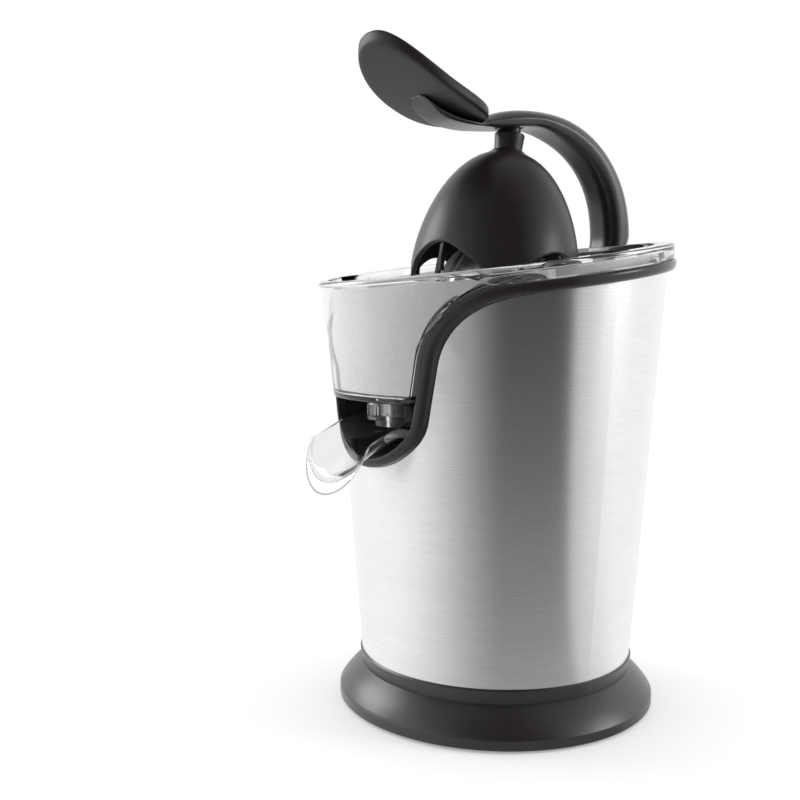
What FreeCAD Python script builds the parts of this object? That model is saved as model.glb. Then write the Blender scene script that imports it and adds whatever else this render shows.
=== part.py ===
import FreeCAD, Part
import math
import os

V = FreeCAD.Vector
UP = V(0, 0, 1)
X_AXIS = V(1, 0, 0)
Y_AXIS = V(0, 1, 0)
ORIGIN = V(0, 0, 0)

# ---------------------------------------------------------------- clearances
REST_GAP = 0.3          # between a resting piece and its seat
RUN_GAP = 0.05          # radial, shaft in bush
FIT_GAP = 0.1           # assembled mouldings, side to side

# ---------------------------------------------------------------- base
BASE_R = 91.3
BASE_EDGE_H = 5.6
BASE_BULGE = 0.5         # convexity of the flare
BASE_WAIST_R = 77.9
BASE_WAIST_Z = 19.4
BASE_TOP_R = 79.3
BASE_TOP_Z = 27.6
BASE_BORE_R = 73.5
PLATE_T = 2.5
PLATE_INSET = 7.3       # of the bottom plate's edge inside the base's
PLATE_R = BASE_R - PLATE_INSET
FOOT_R = 7.0
FOOT_INSET = 12.0       # of a foot's centre inside the plate's edge
FOOT_PITCH_R = PLATE_R - FOOT_INSET
FOOT_DROP = 1.0
FOOT_RECESS = 1.2
BASE_POST_R = 5.0
BASE_POST_PITCH_R = 70.8
BASE_SCREW_R = 1.7
SCREW_HEAD_R = 3.4
SCREW_HEAD_T = 1.8
VENT_L = 26.0
VENT_W = 3.0
VENT_PITCH = 9.6
VENT_ROWS = 6
CORD_R = 3.7
GLAND_R = 5.4
GLAND_FLANGE_R = 7.4
GLAND_FLANGE_T = 2.0
GLAND_INSET = 5.0
GLAND_Z = 10.2

# ---------------------------------------------------------------- steel body
SHELL_BASE_R = 78.3
SHELL_SLOPE = 0.0755    # radius gained per mm of height
SHELL_T = 1.0
RIM_TILT = math.atan(0.14)
STEEL_TOP_Z = 237.7     # on the axis, all top planes share the tilt

# ---------------------------------------------------------------- front opening
OPEN_LOW_Z = 139.7
OPEN_BOTTOM_R = 48.0
OPEN_CORNER_R = 26.0
OPEN_SHOULDER_R = 46.5
OPEN_SHOULDER_Z = 195.5
OPEN_SPLIT = math.radians(45)
OPEN_SIDE = math.radians(78)
OPEN_END = math.radians(13.3)
TRIM_W = 5.2
TRIM_H = 6.0
TRIM_PROUD = 4.6
TRIM_GAP = 0.2

# ---------------------------------------------------------------- inner housing
HOUSING_T = 2.0
DECK_TOP_Z = 174.7
DECK_T = 3.0
POCKET_BACK_Y = -38.0
POCKET_T = 2.0
BOSS_R = 9.0
BOSS_TOP_Z = 184.0
BUSH_R = 6.2
BUSH_L = 22.0
SEAL_H = 4.0
SHELF_Y = 78.0
SHELF_Z = 235.0
SHELF_T = 6.0
SHELF_HALF = 44.0

# ---------------------------------------------------------------- bowl and strainer
RIM_R = 100.6
RIM_CENTRE_Y = -3.0
RIM_TOP_Z = 252.6
RIM_H = 8.5
RIM_PLATE_T = 3.0
RIM_SKIRT_T = 2.2
BOWL_INSET = 5.0        # outer wall inside the steel's outer face
WINDOW_PROUD = 5.8      # front window outside the steel's outer face
BOWL_T = 2.5
BOWL_GAP = 0.5          # window inside the trim
BOWL_BACK_Y = 77.0
BOWL_LOW_Z = DECK_TOP_Z + REST_GAP
CHIMNEY_R = 12.5
CHIMNEY_BORE_R = 10.0
CHIMNEY_TOP_Z = 209.0
OUTLET_Y = -67.0
OUTLET_R = 7.0
STUB_R = 9.2
STUB_L = 8.0
COLLAR_R = 19.0
COLLAR_H = 10.0
NOZZLE_R = 14.4
NOZZLE_H = 3.5
NOTCHES = 14
NOTCH_W = 2.2
NOTCH_D = 1.6
BASKET_GAP = 2.0
BASKET_T = 0.8
BASKET_LIFT = 1.5
BASKET_TOP_Z = 248.0
BASKET_COLLAR_R = 15.6
BASKET_COLLAR_H = 27.5
RIB_T = 2.0
SLOT_ROWS = ((24.0, 14.0), (42.0, 12.0), (58.0, 10.0))     # inner end, length
SLOT_COUNTS = (24, 36, 48)
SLOT_W = 1.8

# ---------------------------------------------------------------- reamer
REAMER_R = 36.0
REAMER_LOW_Z = 219.0
REAMER_TOP_Z = 267.0
REAMER_PROFILE = ((1.0, 0.0), (0.97, 0.3), (0.88, 0.6), (0.63, 0.83), (0.32, 0.95), (0.0, 1.0))     # of radius, of height
REAMER_T = 2.0
REAMER_RIBS = 12
REAMER_RIB_H = 3.0
REAMER_RIB_T = 3.2
HUB_R = 7.5
HUB_LOW_Z = 197.0
HEX_AF = 6.8
HEX_LOW_Z = 193.0
HEX_GAP = 0.1

# ---------------------------------------------------------------- gearbox
MODULE = 1.25
OUTPUT_TEETH = 48
SMALL_TEETH = 16
BIG_TEETH = 52
PINION_TEETH = 12
CENTRE_Y = MODULE * (OUTPUT_TEETH + SMALL_TEETH) / 2
TRAY_LOW_Z = 91.0
TRAY_FLOOR_T = 3.0
TRAY_WALL = 2.5
TRAY_R = 54.0
TRAY_BACK_R = 36.8
LID_Z = 134.0
LID_T = 3.0
BIG_GEAR_Z = 96.5
BIG_GEAR_T = 7.0
PINION_T = 9.0
BRIDGE_Z = 105.5
BRIDGE_T = 2.5
BRIDGE_HALF_X = 38.0
BRIDGE_FRONT_Y = -30.0
BRIDGE_BACK_Y = 20.0
BRIDGE_POST_R = 3.5
THRUST_Z = 116.0
THRUST_T = 3.0
THRUST_R = 12.0
OUTPUT_GEAR_RISE = 2.0
OUTPUT_GEAR_T = 8.0
PRESS_TRAVEL = 2.5
SHAFT_R = 4.0
SHAFT_TOP_Z = 229.0
AXLE_R = 3.0
SPRING_R = 8.2
SPRING_WIRE_R = 0.8
SPRING_TURNS = 3
SPRING_WIRE_SIDES = 12   # flats round the wire
TUBE_X = 44.0
TUBE_Y = 22.0
TUBE_R = 5.0
LONG_SCREW_R = 2.0

# ---------------------------------------------------------------- motor
MOTOR_R = 32.0
MOTOR_T = 2.0
MOTOR_LOW_Z = 23.0
BELL_T = 6.0
STATOR_BORE_R = 19.6
STATOR_LOW_Z = 41.0
STATOR_H = 34.0
ROTOR_R = 19.0
MOTOR_SHAFT_R = 3.0
FAN_R = 26.0
FAN_Z = 31.0
FAN_T = 6.0
FAN_BLADES = 9

# ---------------------------------------------------------------- switch
SWITCH_Y = -44.0
SWITCH_L = 28.0
SWITCH_W = 10.0
SWITCH_H = 15.0
BUTTON_R = 1.5
BUTTON_RISE = 3.4

# ---------------------------------------------------------------- spout
SPOUT_T = 2.0
SPOUT_STATIONS = (      # top edge (y, z), lowest line (y, z), half width
    ((-46.0, 169.0), (-46.0, 153.0), 25.0),
    ((-66.0, 172.0), (-68.0, 151.0), 28.0),
    ((-84.0, 165.2), (-90.0, 148.6), 28.0),
    ((-103.0, 156.0), (-112.5, 137.5), 28.0),
    ((-107.0, 154.0), (-118.5, 127.5), 29.5),
)
SPOUT_LIP_RUN = V(0, -1.2, -2.0)
PIVOT_Y = -48.0
PIVOT_Z = 163.0
PIN_R = 2.0
EAR_R = 5.0
EAR_IN_X = 23.0
EAR_OUT_X = 30.6
SPOUT_PIN_IN_X = 25.5
SPOUT_PIN_OUT_X = 34.2
PAD_R = 9.0
PAD_T = 2.0
PAD_LOW_Z = 153.6

# ---------------------------------------------------------------- lever
HINGE_Y = 88.0
HINGE_Z = 261.0
HINGE_PIN_R = 3.0
ARM_HALF_W = 12.0
ARM_INNER = 14.0        # from the path to the untrimmed inner face
ARM_SIDE = 5.0          # from the path to the shoulder
ARM_CROWN = 11.0        # from the path to the crown
ARM_TOP_Z = 329.0
ARM_BEND_R = 58.0
ARM_PATH_Y = 92.0
ARM_START_RISE = 9.0
ARM_FRONT = ((14.0, 328.4), (-11.5, 323.0))             # path beyond the bend (y, z)
ARM_UNDER = ((82.0, 262.0), (81.4, 272.0), (80.1, 284.3), (73.1, 302.7), (57.9, 318.0),
             (41.7, 326.2), (27.2, 329.6), (12.0, 328.4), (-10.0, 325.8))
KNUCKLE_R = 10.5
RIB_OUTLINE = ((14.0, 326.0), (-39.0, 325.8), (-47.0, 328.6), (-58.5, 337.5), (-57.0, 350.0),
               (-20.0, 350.0), (-16.4, 333.0), (-6.0, 335.2), (14.0, 338.0))
CHEEK_GAP = 1.0
CHEEK_T = 5.0
RIB_HALF_W = 10.5
PADDLE_ARC_R = 109.4
PADDLE_T = 6.4
PADDLE_LOW_Y = -10.2
PADDLE_LOW_Z = 327.2
PADDLE_TIP_Y = -88.6
PADDLE_BACK_Y = -17.0
PADDLE_HALF_W = 29.0
PADDLE_ROUND = 2.0
PADDLE_PEGS = ((-34.0, 326.9), (-50.0, 332.7))         # y, z of the lower end
PADDLE_PEG_R = 2.0
PADDLE_PEG_L = 7.0

# ---------------------------------------------------------------- press dome
DOME_R = 48.2
DOME_H = 68.8
DOME_SHOULDER = 0.045   # how far the profile falls inside an ellipse
DOME_T = 3.0
DOME_LEAN = math.radians(7.8)
DOME_CENTRE = V(0, -2.4, 247.0)
DOME_SKIRT = 9.0
ARCH_TURN = 8.0         # degrees, all four arches
ARCH_OUTLINE = ((0, 8.0), (10, 6.2), (19, 0.4), (25, -4.6), (31, -8.0), (36, -10.5))
DOME_FINS = 8
FIN_T = 2.0
FIN_DEPTH = 5.0
NECK_R = 8.25
NECK_TOP = 78.8
NECK_MOUTH_GAP = 0.8
NECK_MOUTH_H = 3.2
TONGUE_R = 6.0
TONGUE_L = 9.0
SWIVEL_UP = 83.5
SWIVEL_PIN_R = 1.5


def write(name, shape):
    shape.exportStep("parts/%s.step" % name)


def cyl(radius, z0, z1, x=0.0, y=0.0):
    return Part.makeCylinder(radius, z1 - z0, V(x, y, z0))


def ring(outer, inner, z0, z1, x=0.0, y=0.0):
    return cyl(outer, z0, z1, x, y).cut(cyl(inner, z0, z1, x, y))


def box(x0, x1, y0, y1, z0, z1):
    return Part.makeBox(x1 - x0, y1 - y0, z1 - z0, V(x0, y0, z0))


def rod_x(radius, x0, x1, y, z):
    return Part.makeCylinder(radius, x1 - x0, V(x0, y, z), X_AXIS)


def fuse(shapes):
    return shapes[0].multiFuse(shapes[1:]).removeSplitter()


def turned(points):
    wire = Part.makePolygon([V(r, 0, z) for r, z in points + points[:1]])
    return Part.Face(wire).revolve(ORIGIN, UP, 360)


def around(count, start=0.0):
    return [start + 360.0 * i / count for i in range(count)]


def polar(radius, degrees):
    a = math.radians(degrees)
    return radius * math.cos(a), radius * math.sin(a)


def spun(shape, degrees):
    copy = shape.copy()
    copy.rotate(ORIGIN, UP, degrees)
    return copy


def shell_radius(z):
    return SHELL_BASE_R + (z - BASE_TOP_Z) * SHELL_SLOPE


def body_cone(offset, z0, z1):
    return Part.makeCone(shell_radius(z0) + offset, shell_radius(z1) + offset, z1 - z0, V(0, 0, z0))


def above(height):
    """Everything over the tilted plane that meets the axis at this height."""
    block = box(-200, 200, -200, 200, 0, 200)
    block.rotate(ORIGIN, X_AXIS, math.degrees(RIM_TILT))
    block.translate(V(0, 0, height))
    return block


def below(height):
    block = box(-200, 200, -200, 200, -400, 0)
    block.rotate(ORIGIN, X_AXIS, math.degrees(RIM_TILT))
    block.translate(V(0, 0, height))
    return block


def arc(a, b, c):
    return Part.Arc(a, b, c).toShape()


def opening(inset, y0=-130.0, y1=0.0, top=300.0):
    """Prism of the front opening, its outline moved inwards by inset."""
    def flat(x, z):
        return V(x, y0, z)

    def on_arc(cx, cz, radius, angle):
        return flat(cx + radius * math.sin(angle), cz - radius * math.cos(angle))

    c1z = OPEN_LOW_Z + OPEN_BOTTOM_R
    r1 = OPEN_BOTTOM_R - inset
    r2 = OPEN_CORNER_R - inset
    step = OPEN_BOTTOM_R - OPEN_CORNER_R
    c2x = step * math.sin(OPEN_SPLIT)
    c2z = c1z - step * math.cos(OPEN_SPLIT)
    side_x = c2x + OPEN_CORNER_R * math.sin(OPEN_SIDE)
    side_z = c2z - OPEN_CORNER_R * math.cos(OPEN_SIDE)
    run = (OPEN_SHOULDER_Z - side_z) / math.sin(OPEN_SIDE)
    c3x = side_x + run * math.cos(OPEN_SIDE) + OPEN_SHOULDER_R * math.sin(OPEN_SIDE)
    c3z = OPEN_SHOULDER_Z - OPEN_SHOULDER_R * math.cos(OPEN_SIDE)
    r3 = -(OPEN_SHOULDER_R + inset)
    mid3 = (OPEN_SIDE + OPEN_END) / 2
    mid2 = (OPEN_SPLIT + OPEN_SIDE) / 2
    low = on_arc(0, c1z, r1, 0)
    p1 = on_arc(0, c1z, r1, OPEN_SPLIT)
    p2 = on_arc(c2x, c2z, r2, OPEN_SIDE)
    p3 = on_arc(c3x, c3z, r3, OPEN_SIDE)
    p4 = on_arc(c3x, c3z, r3, OPEN_END)
    half = [
        arc(low, on_arc(0, c1z, r1, OPEN_SPLIT / 2), p1),
        arc(p1, on_arc(c2x, c2z, r2, mid2), p2),
        Part.makeLine(p2, p3),
        arc(p3, on_arc(c3x, c3z, r3, mid3), p4),
        Part.makeLine(p4, flat(p4.x, top)),
        Part.makeLine(flat(p4.x, top), flat(0, top)),
    ]
    left = [edge.mirror(flat(0, 0), X_AXIS) for edge in half]
    wire = Part.Wire(Part.__sortEdges__(half + left))
    return Part.Face(wire).extrude(V(0, y1 - y0, 0))


# ---------------------------------------------------------------- base pieces
def post_spots():
    return [polar(BASE_POST_PITCH_R, a) for a in around(4, 45)]


def base_ring():
    foot = [(BASE_BORE_R, PLATE_T), (PLATE_R + REST_GAP, PLATE_T), (PLATE_R + REST_GAP, 0), (BASE_R - 0.8, 0),
            (BASE_R, 0.8), (BASE_R, BASE_EDGE_H), (BASE_R - 0.7, BASE_EDGE_H + 1.2)]
    a = V(BASE_R - 0.7, 0, BASE_EDGE_H + 1.2)
    c = V(BASE_WAIST_R, 0, BASE_WAIST_Z)
    mid = (a + c) / 2 + V(BASE_BULGE, 0, BASE_BULGE)
    edges = [Part.makeLine(V(p[0], 0, p[1]), V(q[0], 0, q[1])) for p, q in zip(foot[:-1], foot[1:])]
    sweep = Part.BSplineCurve()
    sweep.interpolate([a, mid, c])
    edges.append(sweep.toShape())
    top = [(c.x, c.z), (BASE_TOP_R, BASE_TOP_Z - 0.8), (BASE_TOP_R - 0.8, BASE_TOP_Z), (BASE_BORE_R, BASE_TOP_Z),
           (BASE_BORE_R, PLATE_T)]
    edges += [Part.makeLine(V(p[0], 0, p[1]), V(q[0], 0, q[1])) for p, q in zip(top[:-1], top[1:])]
    body = Part.Face(Part.Wire(edges)).revolve(ORIGIN, UP, 360)
    posts = [cyl(BASE_POST_R, PLATE_T, BASE_TOP_Z, x, y) for x, y in post_spots()]
    body = fuse([body] + posts)
    holes = [cyl(BASE_SCREW_R + FIT_GAP, 0, BASE_TOP_Z, x, y) for x, y in post_spots()]
    gland = Part.makeCylinder(GLAND_R + FIT_GAP, 30, V(0, BASE_BORE_R - 6, GLAND_Z), Y_AXIS)
    return body.cut(Part.makeCompound(holes + [gland]))


def bottom_plate():
    plate = cyl(PLATE_R, 0, PLATE_T)
    cuts = [cyl(BASE_SCREW_R + FIT_GAP, 0, PLATE_T, x, y) for x, y in post_spots()]
    cuts += [cyl(SCREW_HEAD_R + FIT_GAP, 0, SCREW_HEAD_T, x, y) for x, y in post_spots()]
    cuts += [cyl(FOOT_R + REST_GAP, 0, FOOT_RECESS, *polar(FOOT_PITCH_R, a)) for a in around(4)]
    for i in range(VENT_ROWS):
        y = (i - (VENT_ROWS - 1) / 2) * VENT_PITCH
        cuts.append(box(-VENT_L / 2, VENT_L / 2, y - VENT_W / 2, y + VENT_W / 2, 0, PLATE_T))
    return plate.cut(Part.makeCompound(cuts))


def rubber_feet():
    feet = [cyl(FOOT_R, -FOOT_DROP, FOOT_RECESS, *polar(FOOT_PITCH_R, a)) for a in around(4)]
    return Part.makeCompound([foot.makeFillet(0.4, [foot.Edges[2]]) for foot in feet])


def base_screws():
    screws = []
    for x, y in post_spots():
        head = cyl(SCREW_HEAD_R, 0.2, SCREW_HEAD_T, x, y)
        screws.append(fuse([head, cyl(BASE_SCREW_R, SCREW_HEAD_T, BASE_TOP_Z + 16, x, y)]))
    return Part.makeCompound(screws)


def cord_gland():
    outer_y = BASE_R - GLAND_INSET
    start_y = BASE_BORE_R - 0.5 - GLAND_FLANGE_T
    tube = Part.makeCylinder(GLAND_R, outer_y - start_y, V(0, start_y, GLAND_Z), Y_AXIS)
    flange = Part.makeCylinder(GLAND_FLANGE_R, GLAND_FLANGE_T, V(0, start_y, GLAND_Z), Y_AXIS)
    hole = Part.makeCylinder(CORD_R, 40, V(0, start_y - 5, GLAND_Z), Y_AXIS)
    return fuse([tube, flange]).cut(hole)


# ---------------------------------------------------------------- body pieces
def body_shell():
    sheet = body_cone(0, BASE_TOP_Z, 262).cut(body_cone(-SHELL_T, BASE_TOP_Z, 262))
    return sheet.cut(above(STEEL_TOP_Z - TRIM_GAP)).cut(opening(-TRIM_GAP))


def back_slot():
    half = ARM_HALF_W + CHEEK_GAP
    return box(-half, half, BOWL_BACK_Y, 120, STEEL_TOP_Z + math.tan(RIM_TILT) * 94 + 0.6, 300)


def trim_band():
    inner = -SHELL_T
    band = body_cone(TRIM_PROUD, OPEN_LOW_Z - 4, 266).cut(body_cone(inner, OPEN_LOW_Z - 4, 266))
    whole = above(STEEL_TOP_Z).fuse(opening(0))
    hollow = above(STEEL_TOP_Z + TRIM_H).fuse(opening(TRIM_W))
    return band.common(whole).cut(hollow).cut(back_slot())


def inner_housing():
    outer = -SHELL_T - REST_GAP
    inner = outer - HOUSING_T
    low = BASE_TOP_Z
    wall = body_cone(outer, low, 262).cut(body_cone(inner, low, 262))
    wall = wall.cut(above(STEEL_TOP_Z)).cut(opening(TRIM_W, top=400))
    deck = body_cone(outer, DECK_TOP_Z - DECK_T, DECK_TOP_Z)
    shelf = body_cone(outer, SHELF_Z, SHELF_Z + SHELF_T)
    shelf = shelf.common(box(-SHELF_HALF, SHELF_HALF, SHELF_Y, 120, 0, 300))
    pocket = opening(TRIM_W - POCKET_T, y0=-130, y1=POCKET_BACK_Y + POCKET_T)
    pocket = pocket.common(body_cone(outer, OPEN_LOW_Z, DECK_TOP_Z))
    boss = cyl(BOSS_R, DECK_TOP_Z - DECK_T - 12, BOSS_TOP_Z)
    posts = [cyl(TUBE_R, LID_Z + LID_T, DECK_TOP_Z - 1, sx * TUBE_X, sy * TUBE_Y)
             for sx in (-1, 1) for sy in (-1, 1)]
    feet = [cyl(BASE_POST_R, low, low + 40, x, y).common(body_cone(outer, low, low + 40))
            for x, y in post_spots()]
    body = fuse([wall, deck, shelf, pocket, boss] + posts + feet)
    recess = opening(TRIM_W, y0=-130, y1=POCKET_BACK_Y)
    bore = cyl(BUSH_R + RUN_GAP, 0, 300)
    cuts = [recess, bore]
    cuts += [cyl(BASE_SCREW_R + FIT_GAP, 0, low + 18, x, y) for x, y in post_spots()]
    cuts += [cyl(LONG_SCREW_R + FIT_GAP, LID_Z, LID_Z + 16, sx * TUBE_X, sy * TUBE_Y)
             for sx in (-1, 1) for sy in (-1, 1)]
    cuts += [rod_x(PIN_R + RUN_GAP, -SPOUT_PIN_OUT_X - 0.2, SPOUT_PIN_OUT_X + 0.2, PIVOT_Y, PIVOT_Z)]
    cuts += [cyl(BASE_SCREW_R + FIT_GAP, SHELF_Z - 1, SHELF_Z + SHELF_T + 1, s * 28, 82) for s in (-1, 1)]
    return body.cut(Part.makeCompound(cuts))


def upper_bush():
    top = BOSS_TOP_Z - SEAL_H
    return ring(BUSH_R, SHAFT_R + RUN_GAP, top - BUSH_L, top)


def shaft_seal():
    return ring(BUSH_R, SHAFT_R + RUN_GAP, BOSS_TOP_Z - SEAL_H, BOSS_TOP_Z)


def spout_pins():
    right = rod_x(PIN_R, SPOUT_PIN_IN_X, SPOUT_PIN_OUT_X, PIVOT_Y, PIVOT_Z)
    left = rod_x(PIN_R, -SPOUT_PIN_OUT_X, -SPOUT_PIN_IN_X, PIVOT_Y, PIVOT_Z)
    return Part.makeCompound([right, left])


# ---------------------------------------------------------------- gearbox pieces
def gear(teeth, z, thickness, phase, x=0.0, y=0.0):
    """Spur gear with straight flanks; phase is the angle of a tooth's centre in degrees."""
    pitch_r = MODULE * teeth / 2
    tip = pitch_r + 0.85 * MODULE
    root = pitch_r - 1.2 * MODULE
    pitch = 360.0 / teeth
    points = []
    for i in range(teeth):
        centre = phase + i * pitch
        for radius, part in ((root, -0.30), (tip, -0.12), (tip, 0.12), (root, 0.30)):
            px, py = polar(radius, centre + part * pitch)
            points.append(V(x + px, y + py, z))
    face = Part.Face(Part.makePolygon(points + points[:1]))
    return face.extrude(V(0, 0, thickness))


def tray_outline(shrink, z0, z1):
    front = cyl(TRAY_R - shrink, z0, z1)
    back = cyl(TRAY_BACK_R - shrink, z0, z1, 0, CENTRE_Y)
    return front.fuse(back).removeSplitter()


def tube_spots():
    return [(sx * TUBE_X, sy * TUBE_Y) for sx in (-1, 1) for sy in (-1, 1)]


def bridge_spots():
    return [(sx * 34.0, y) for sx in (-1, 1) for y in (-26.0, 14.0)]


def gearbox_tray():
    floor_z = TRAY_LOW_Z + TRAY_FLOOR_T
    shell = tray_outline(0, TRAY_LOW_Z, LID_Z).cut(tray_outline(TRAY_WALL, floor_z, LID_Z))
    tubes = [cyl(TUBE_R, TRAY_LOW_Z, LID_Z, x, y) for x, y in tube_spots()]
    posts = [cyl(BRIDGE_POST_R, TRAY_LOW_Z, BRIDGE_Z, x, y) for x, y in bridge_spots()]
    nest = box(-SWITCH_L / 2, SWITCH_L / 2, SWITCH_Y - SWITCH_W / 2, SWITCH_Y + SWITCH_W / 2, floor_z, switch_low())
    body = fuse([shell] + tubes + posts + [nest])
    cuts = [cyl(LONG_SCREW_R + FIT_GAP, 0, 200, x, y) for x, y in tube_spots()]
    cuts.append(cyl(MODULE * PINION_TEETH / 2 + 2.0, 0, floor_z + 1))
    cuts.append(cyl(AXLE_R + RUN_GAP, TRAY_LOW_Z + 1, floor_z + 1, 0, CENTRE_Y))
    return body.cut(Part.makeCompound(cuts))


def gearbox_lid():
    lid = tray_outline(0, LID_Z, LID_Z + LID_T)
    cuts = [cyl(LONG_SCREW_R + FIT_GAP, 0, 200, x, y) for x, y in tube_spots()]
    cuts.append(cyl(SHAFT_R + RUN_GAP, 0, 200))
    cuts.append(cyl(AXLE_R + RUN_GAP, 0, LID_Z + 2, 0, CENTRE_Y))
    return lid.cut(Part.makeCompound(cuts))


def gearbox_screws():
    screws = []
    for x, y in tube_spots():
        head = cyl(SCREW_HEAD_R, TRAY_LOW_Z - SCREW_HEAD_T, TRAY_LOW_Z, x, y)
        screws.append(fuse([head, cyl(LONG_SCREW_R, TRAY_LOW_Z, LID_Z + 14, x, y)]))
    return Part.makeCompound(screws)


def spring_bridge():
    plate = box(-BRIDGE_HALF_X, BRIDGE_HALF_X, BRIDGE_FRONT_Y, BRIDGE_BACK_Y, BRIDGE_Z, BRIDGE_Z + BRIDGE_T)
    spigot = cyl(SPRING_R - SPRING_WIRE_R - REST_GAP, BRIDGE_Z + BRIDGE_T, BRIDGE_Z + BRIDGE_T + 2)
    return fuse([plate, spigot])


def return_spring():
    low = BRIDGE_Z + BRIDGE_T + REST_GAP / 3 + SPRING_WIRE_R
    high = THRUST_Z - REST_GAP / 3 - SPRING_WIRE_R
    helix = Part.makeHelix((high - low) / SPRING_TURNS, high - low, SPRING_R)
    helix.translate(V(0, 0, low))
    section = [polar(SPRING_WIRE_R, a) for a in around(SPRING_WIRE_SIDES)]
    corners = [V(SPRING_R + x, 0, low + z) for x, z in section]
    wire = Part.makePolygon(corners + corners[:1])
    return Part.Wire(helix.Edges).makePipeShell([wire], True, True)


def compound_gear():
    small_top = output_gear_z() + OUTPUT_GEAR_T + 1
    big = gear(BIG_TEETH, BIG_GEAR_Z, BIG_GEAR_T, -90, 0, CENTRE_Y)
    half = 180.0 / SMALL_TEETH
    small = gear(SMALL_TEETH, BIG_GEAR_Z + BIG_GEAR_T, small_top - BIG_GEAR_Z - BIG_GEAR_T, -90 + half, 0, CENTRE_Y)
    return fuse([big, small]).cut(cyl(AXLE_R + RUN_GAP, 0, 200, 0, CENTRE_Y))


def compound_axle():
    return cyl(AXLE_R, TRAY_LOW_Z + 1.3, LID_Z + 1.7, 0, CENTRE_Y)


def output_gear_z():
    return THRUST_Z + THRUST_T + OUTPUT_GEAR_RISE


def output_gear():
    z = output_gear_z()
    body = fuse([gear(OUTPUT_TEETH, z, OUTPUT_GEAR_T, 90), cyl(9, z - 1.5, z + OUTPUT_GEAR_T + 2)])
    return body.cut(cyl(SHAFT_R + RUN_GAP, 0, 300))


def hexagon(flats, z0, z1):
    radius = flats / math.sqrt(3)
    points = [V(*polar(radius, a), z0) for a in around(6)]
    return Part.Face(Part.makePolygon(points + points[:1])).extrude(V(0, 0, z1 - z0))


def drive_shaft():
    low = THRUST_Z + THRUST_T
    shaft = fuse([cyl(SHAFT_R, low, HEX_LOW_Z), hexagon(HEX_AF, HEX_LOW_Z, SHAFT_TOP_Z)])
    return shaft


def thrust_plate():
    z1 = THRUST_Z + THRUST_T
    disc = cyl(THRUST_R, THRUST_Z, z1)
    finger = box(-3, 3, SWITCH_Y - 2.5, 0, THRUST_Z, z1)
    return fuse([disc, finger])


def switch_low():
    return THRUST_Z - REST_GAP - BUTTON_RISE - SWITCH_H


def micro_switch():
    low = switch_low()
    body = box(-SWITCH_L / 2, SWITCH_L / 2, SWITCH_Y - SWITCH_W / 2, SWITCH_Y + SWITCH_W / 2, low, low + SWITCH_H)
    hole = cyl(BUTTON_R + RUN_GAP, low + SWITCH_H - 6, low + SWITCH_H, 0, SWITCH_Y)
    return body.cut(hole)


def switch_button():
    top = THRUST_Z - REST_GAP
    return cyl(BUTTON_R, top - BUTTON_RISE - 3, top, 0, SWITCH_Y)


# ---------------------------------------------------------------- motor pieces
def motor_top_z():
    return TRAY_LOW_Z - BELL_T


def motor_can():
    low = MOTOR_LOW_Z + BELL_T
    can = ring(MOTOR_R, MOTOR_R - MOTOR_T, low, motor_top_z())
    slot = box(MOTOR_R - 6, MOTOR_R + 2, -4, 4, low + 2, low + 10)
    cuts = [spun(slot, a) for a in around(6)]
    return can.cut(Part.makeCompound(cuts))


def motor_upper_bell():
    z = motor_top_z()
    body = fuse([cyl(MOTOR_R, z, TRAY_LOW_Z), cyl(MOTOR_R - MOTOR_T - FIT_GAP, z - 2, z)])
    return body.cut(cyl(MOTOR_SHAFT_R + RUN_GAP, 0, 200))


def motor_lower_bell():
    z = MOTOR_LOW_Z
    body = fuse([cyl(MOTOR_R, z, z + BELL_T), cyl(10, z - 5, z)])
    return body.cut(cyl(MOTOR_SHAFT_R + RUN_GAP, z - 3, z + 20))


def stator_coils():
    outer = MOTOR_R - MOTOR_T - FIT_GAP
    return ring(outer, STATOR_BORE_R, STATOR_LOW_Z, STATOR_LOW_Z + STATOR_H)


def motor_rotor():
    low = MOTOR_LOW_Z - 2.7
    shaft = cyl(MOTOR_SHAFT_R, low, BIG_GEAR_Z - 1.5)
    core = cyl(ROTOR_R, STATOR_LOW_Z + 2, STATOR_LOW_Z + STATOR_H - 2)
    brush_ring = cyl(9, STATOR_LOW_Z + STATOR_H - 2, STATOR_LOW_Z + STATOR_H + 6)
    disc = cyl(FAN_R, FAN_Z, FAN_Z + 1.2)
    blades = [spun(box(8, FAN_R - 0.5, -0.6, 0.6, FAN_Z + 1.2, FAN_Z + FAN_T), a) for a in around(FAN_BLADES)]
    return fuse([shaft, core, brush_ring, disc] + blades)


def motor_pinion():
    half = 180.0 / PINION_TEETH
    z = BIG_GEAR_Z - 1.5
    return gear(PINION_TEETH, z, PINION_T, 90 + half)


# ---------------------------------------------------------------- bowl pieces
def cup(inset, low, back_y):
    """The bowl's outer form moved inwards by inset: a cone with the window standing out at the front."""
    body = body_cone(-BOWL_INSET - inset, low, 270)
    window = body_cone(WINDOW_PROUD - inset, low, 270).common(opening(TRIM_W + BOWL_GAP + inset, top=400))
    return body.fuse(window).common(box(-150, 150, -150, back_y, 0, 400))


def rim_disc(radius, low, high):
    disc = cyl(radius, 200, 320, 0, RIM_CENTRE_Y)
    return disc.common(above(low)).common(below(high)).common(box(-150, 150, -150, BOWL_BACK_Y, 0, 400))


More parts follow.
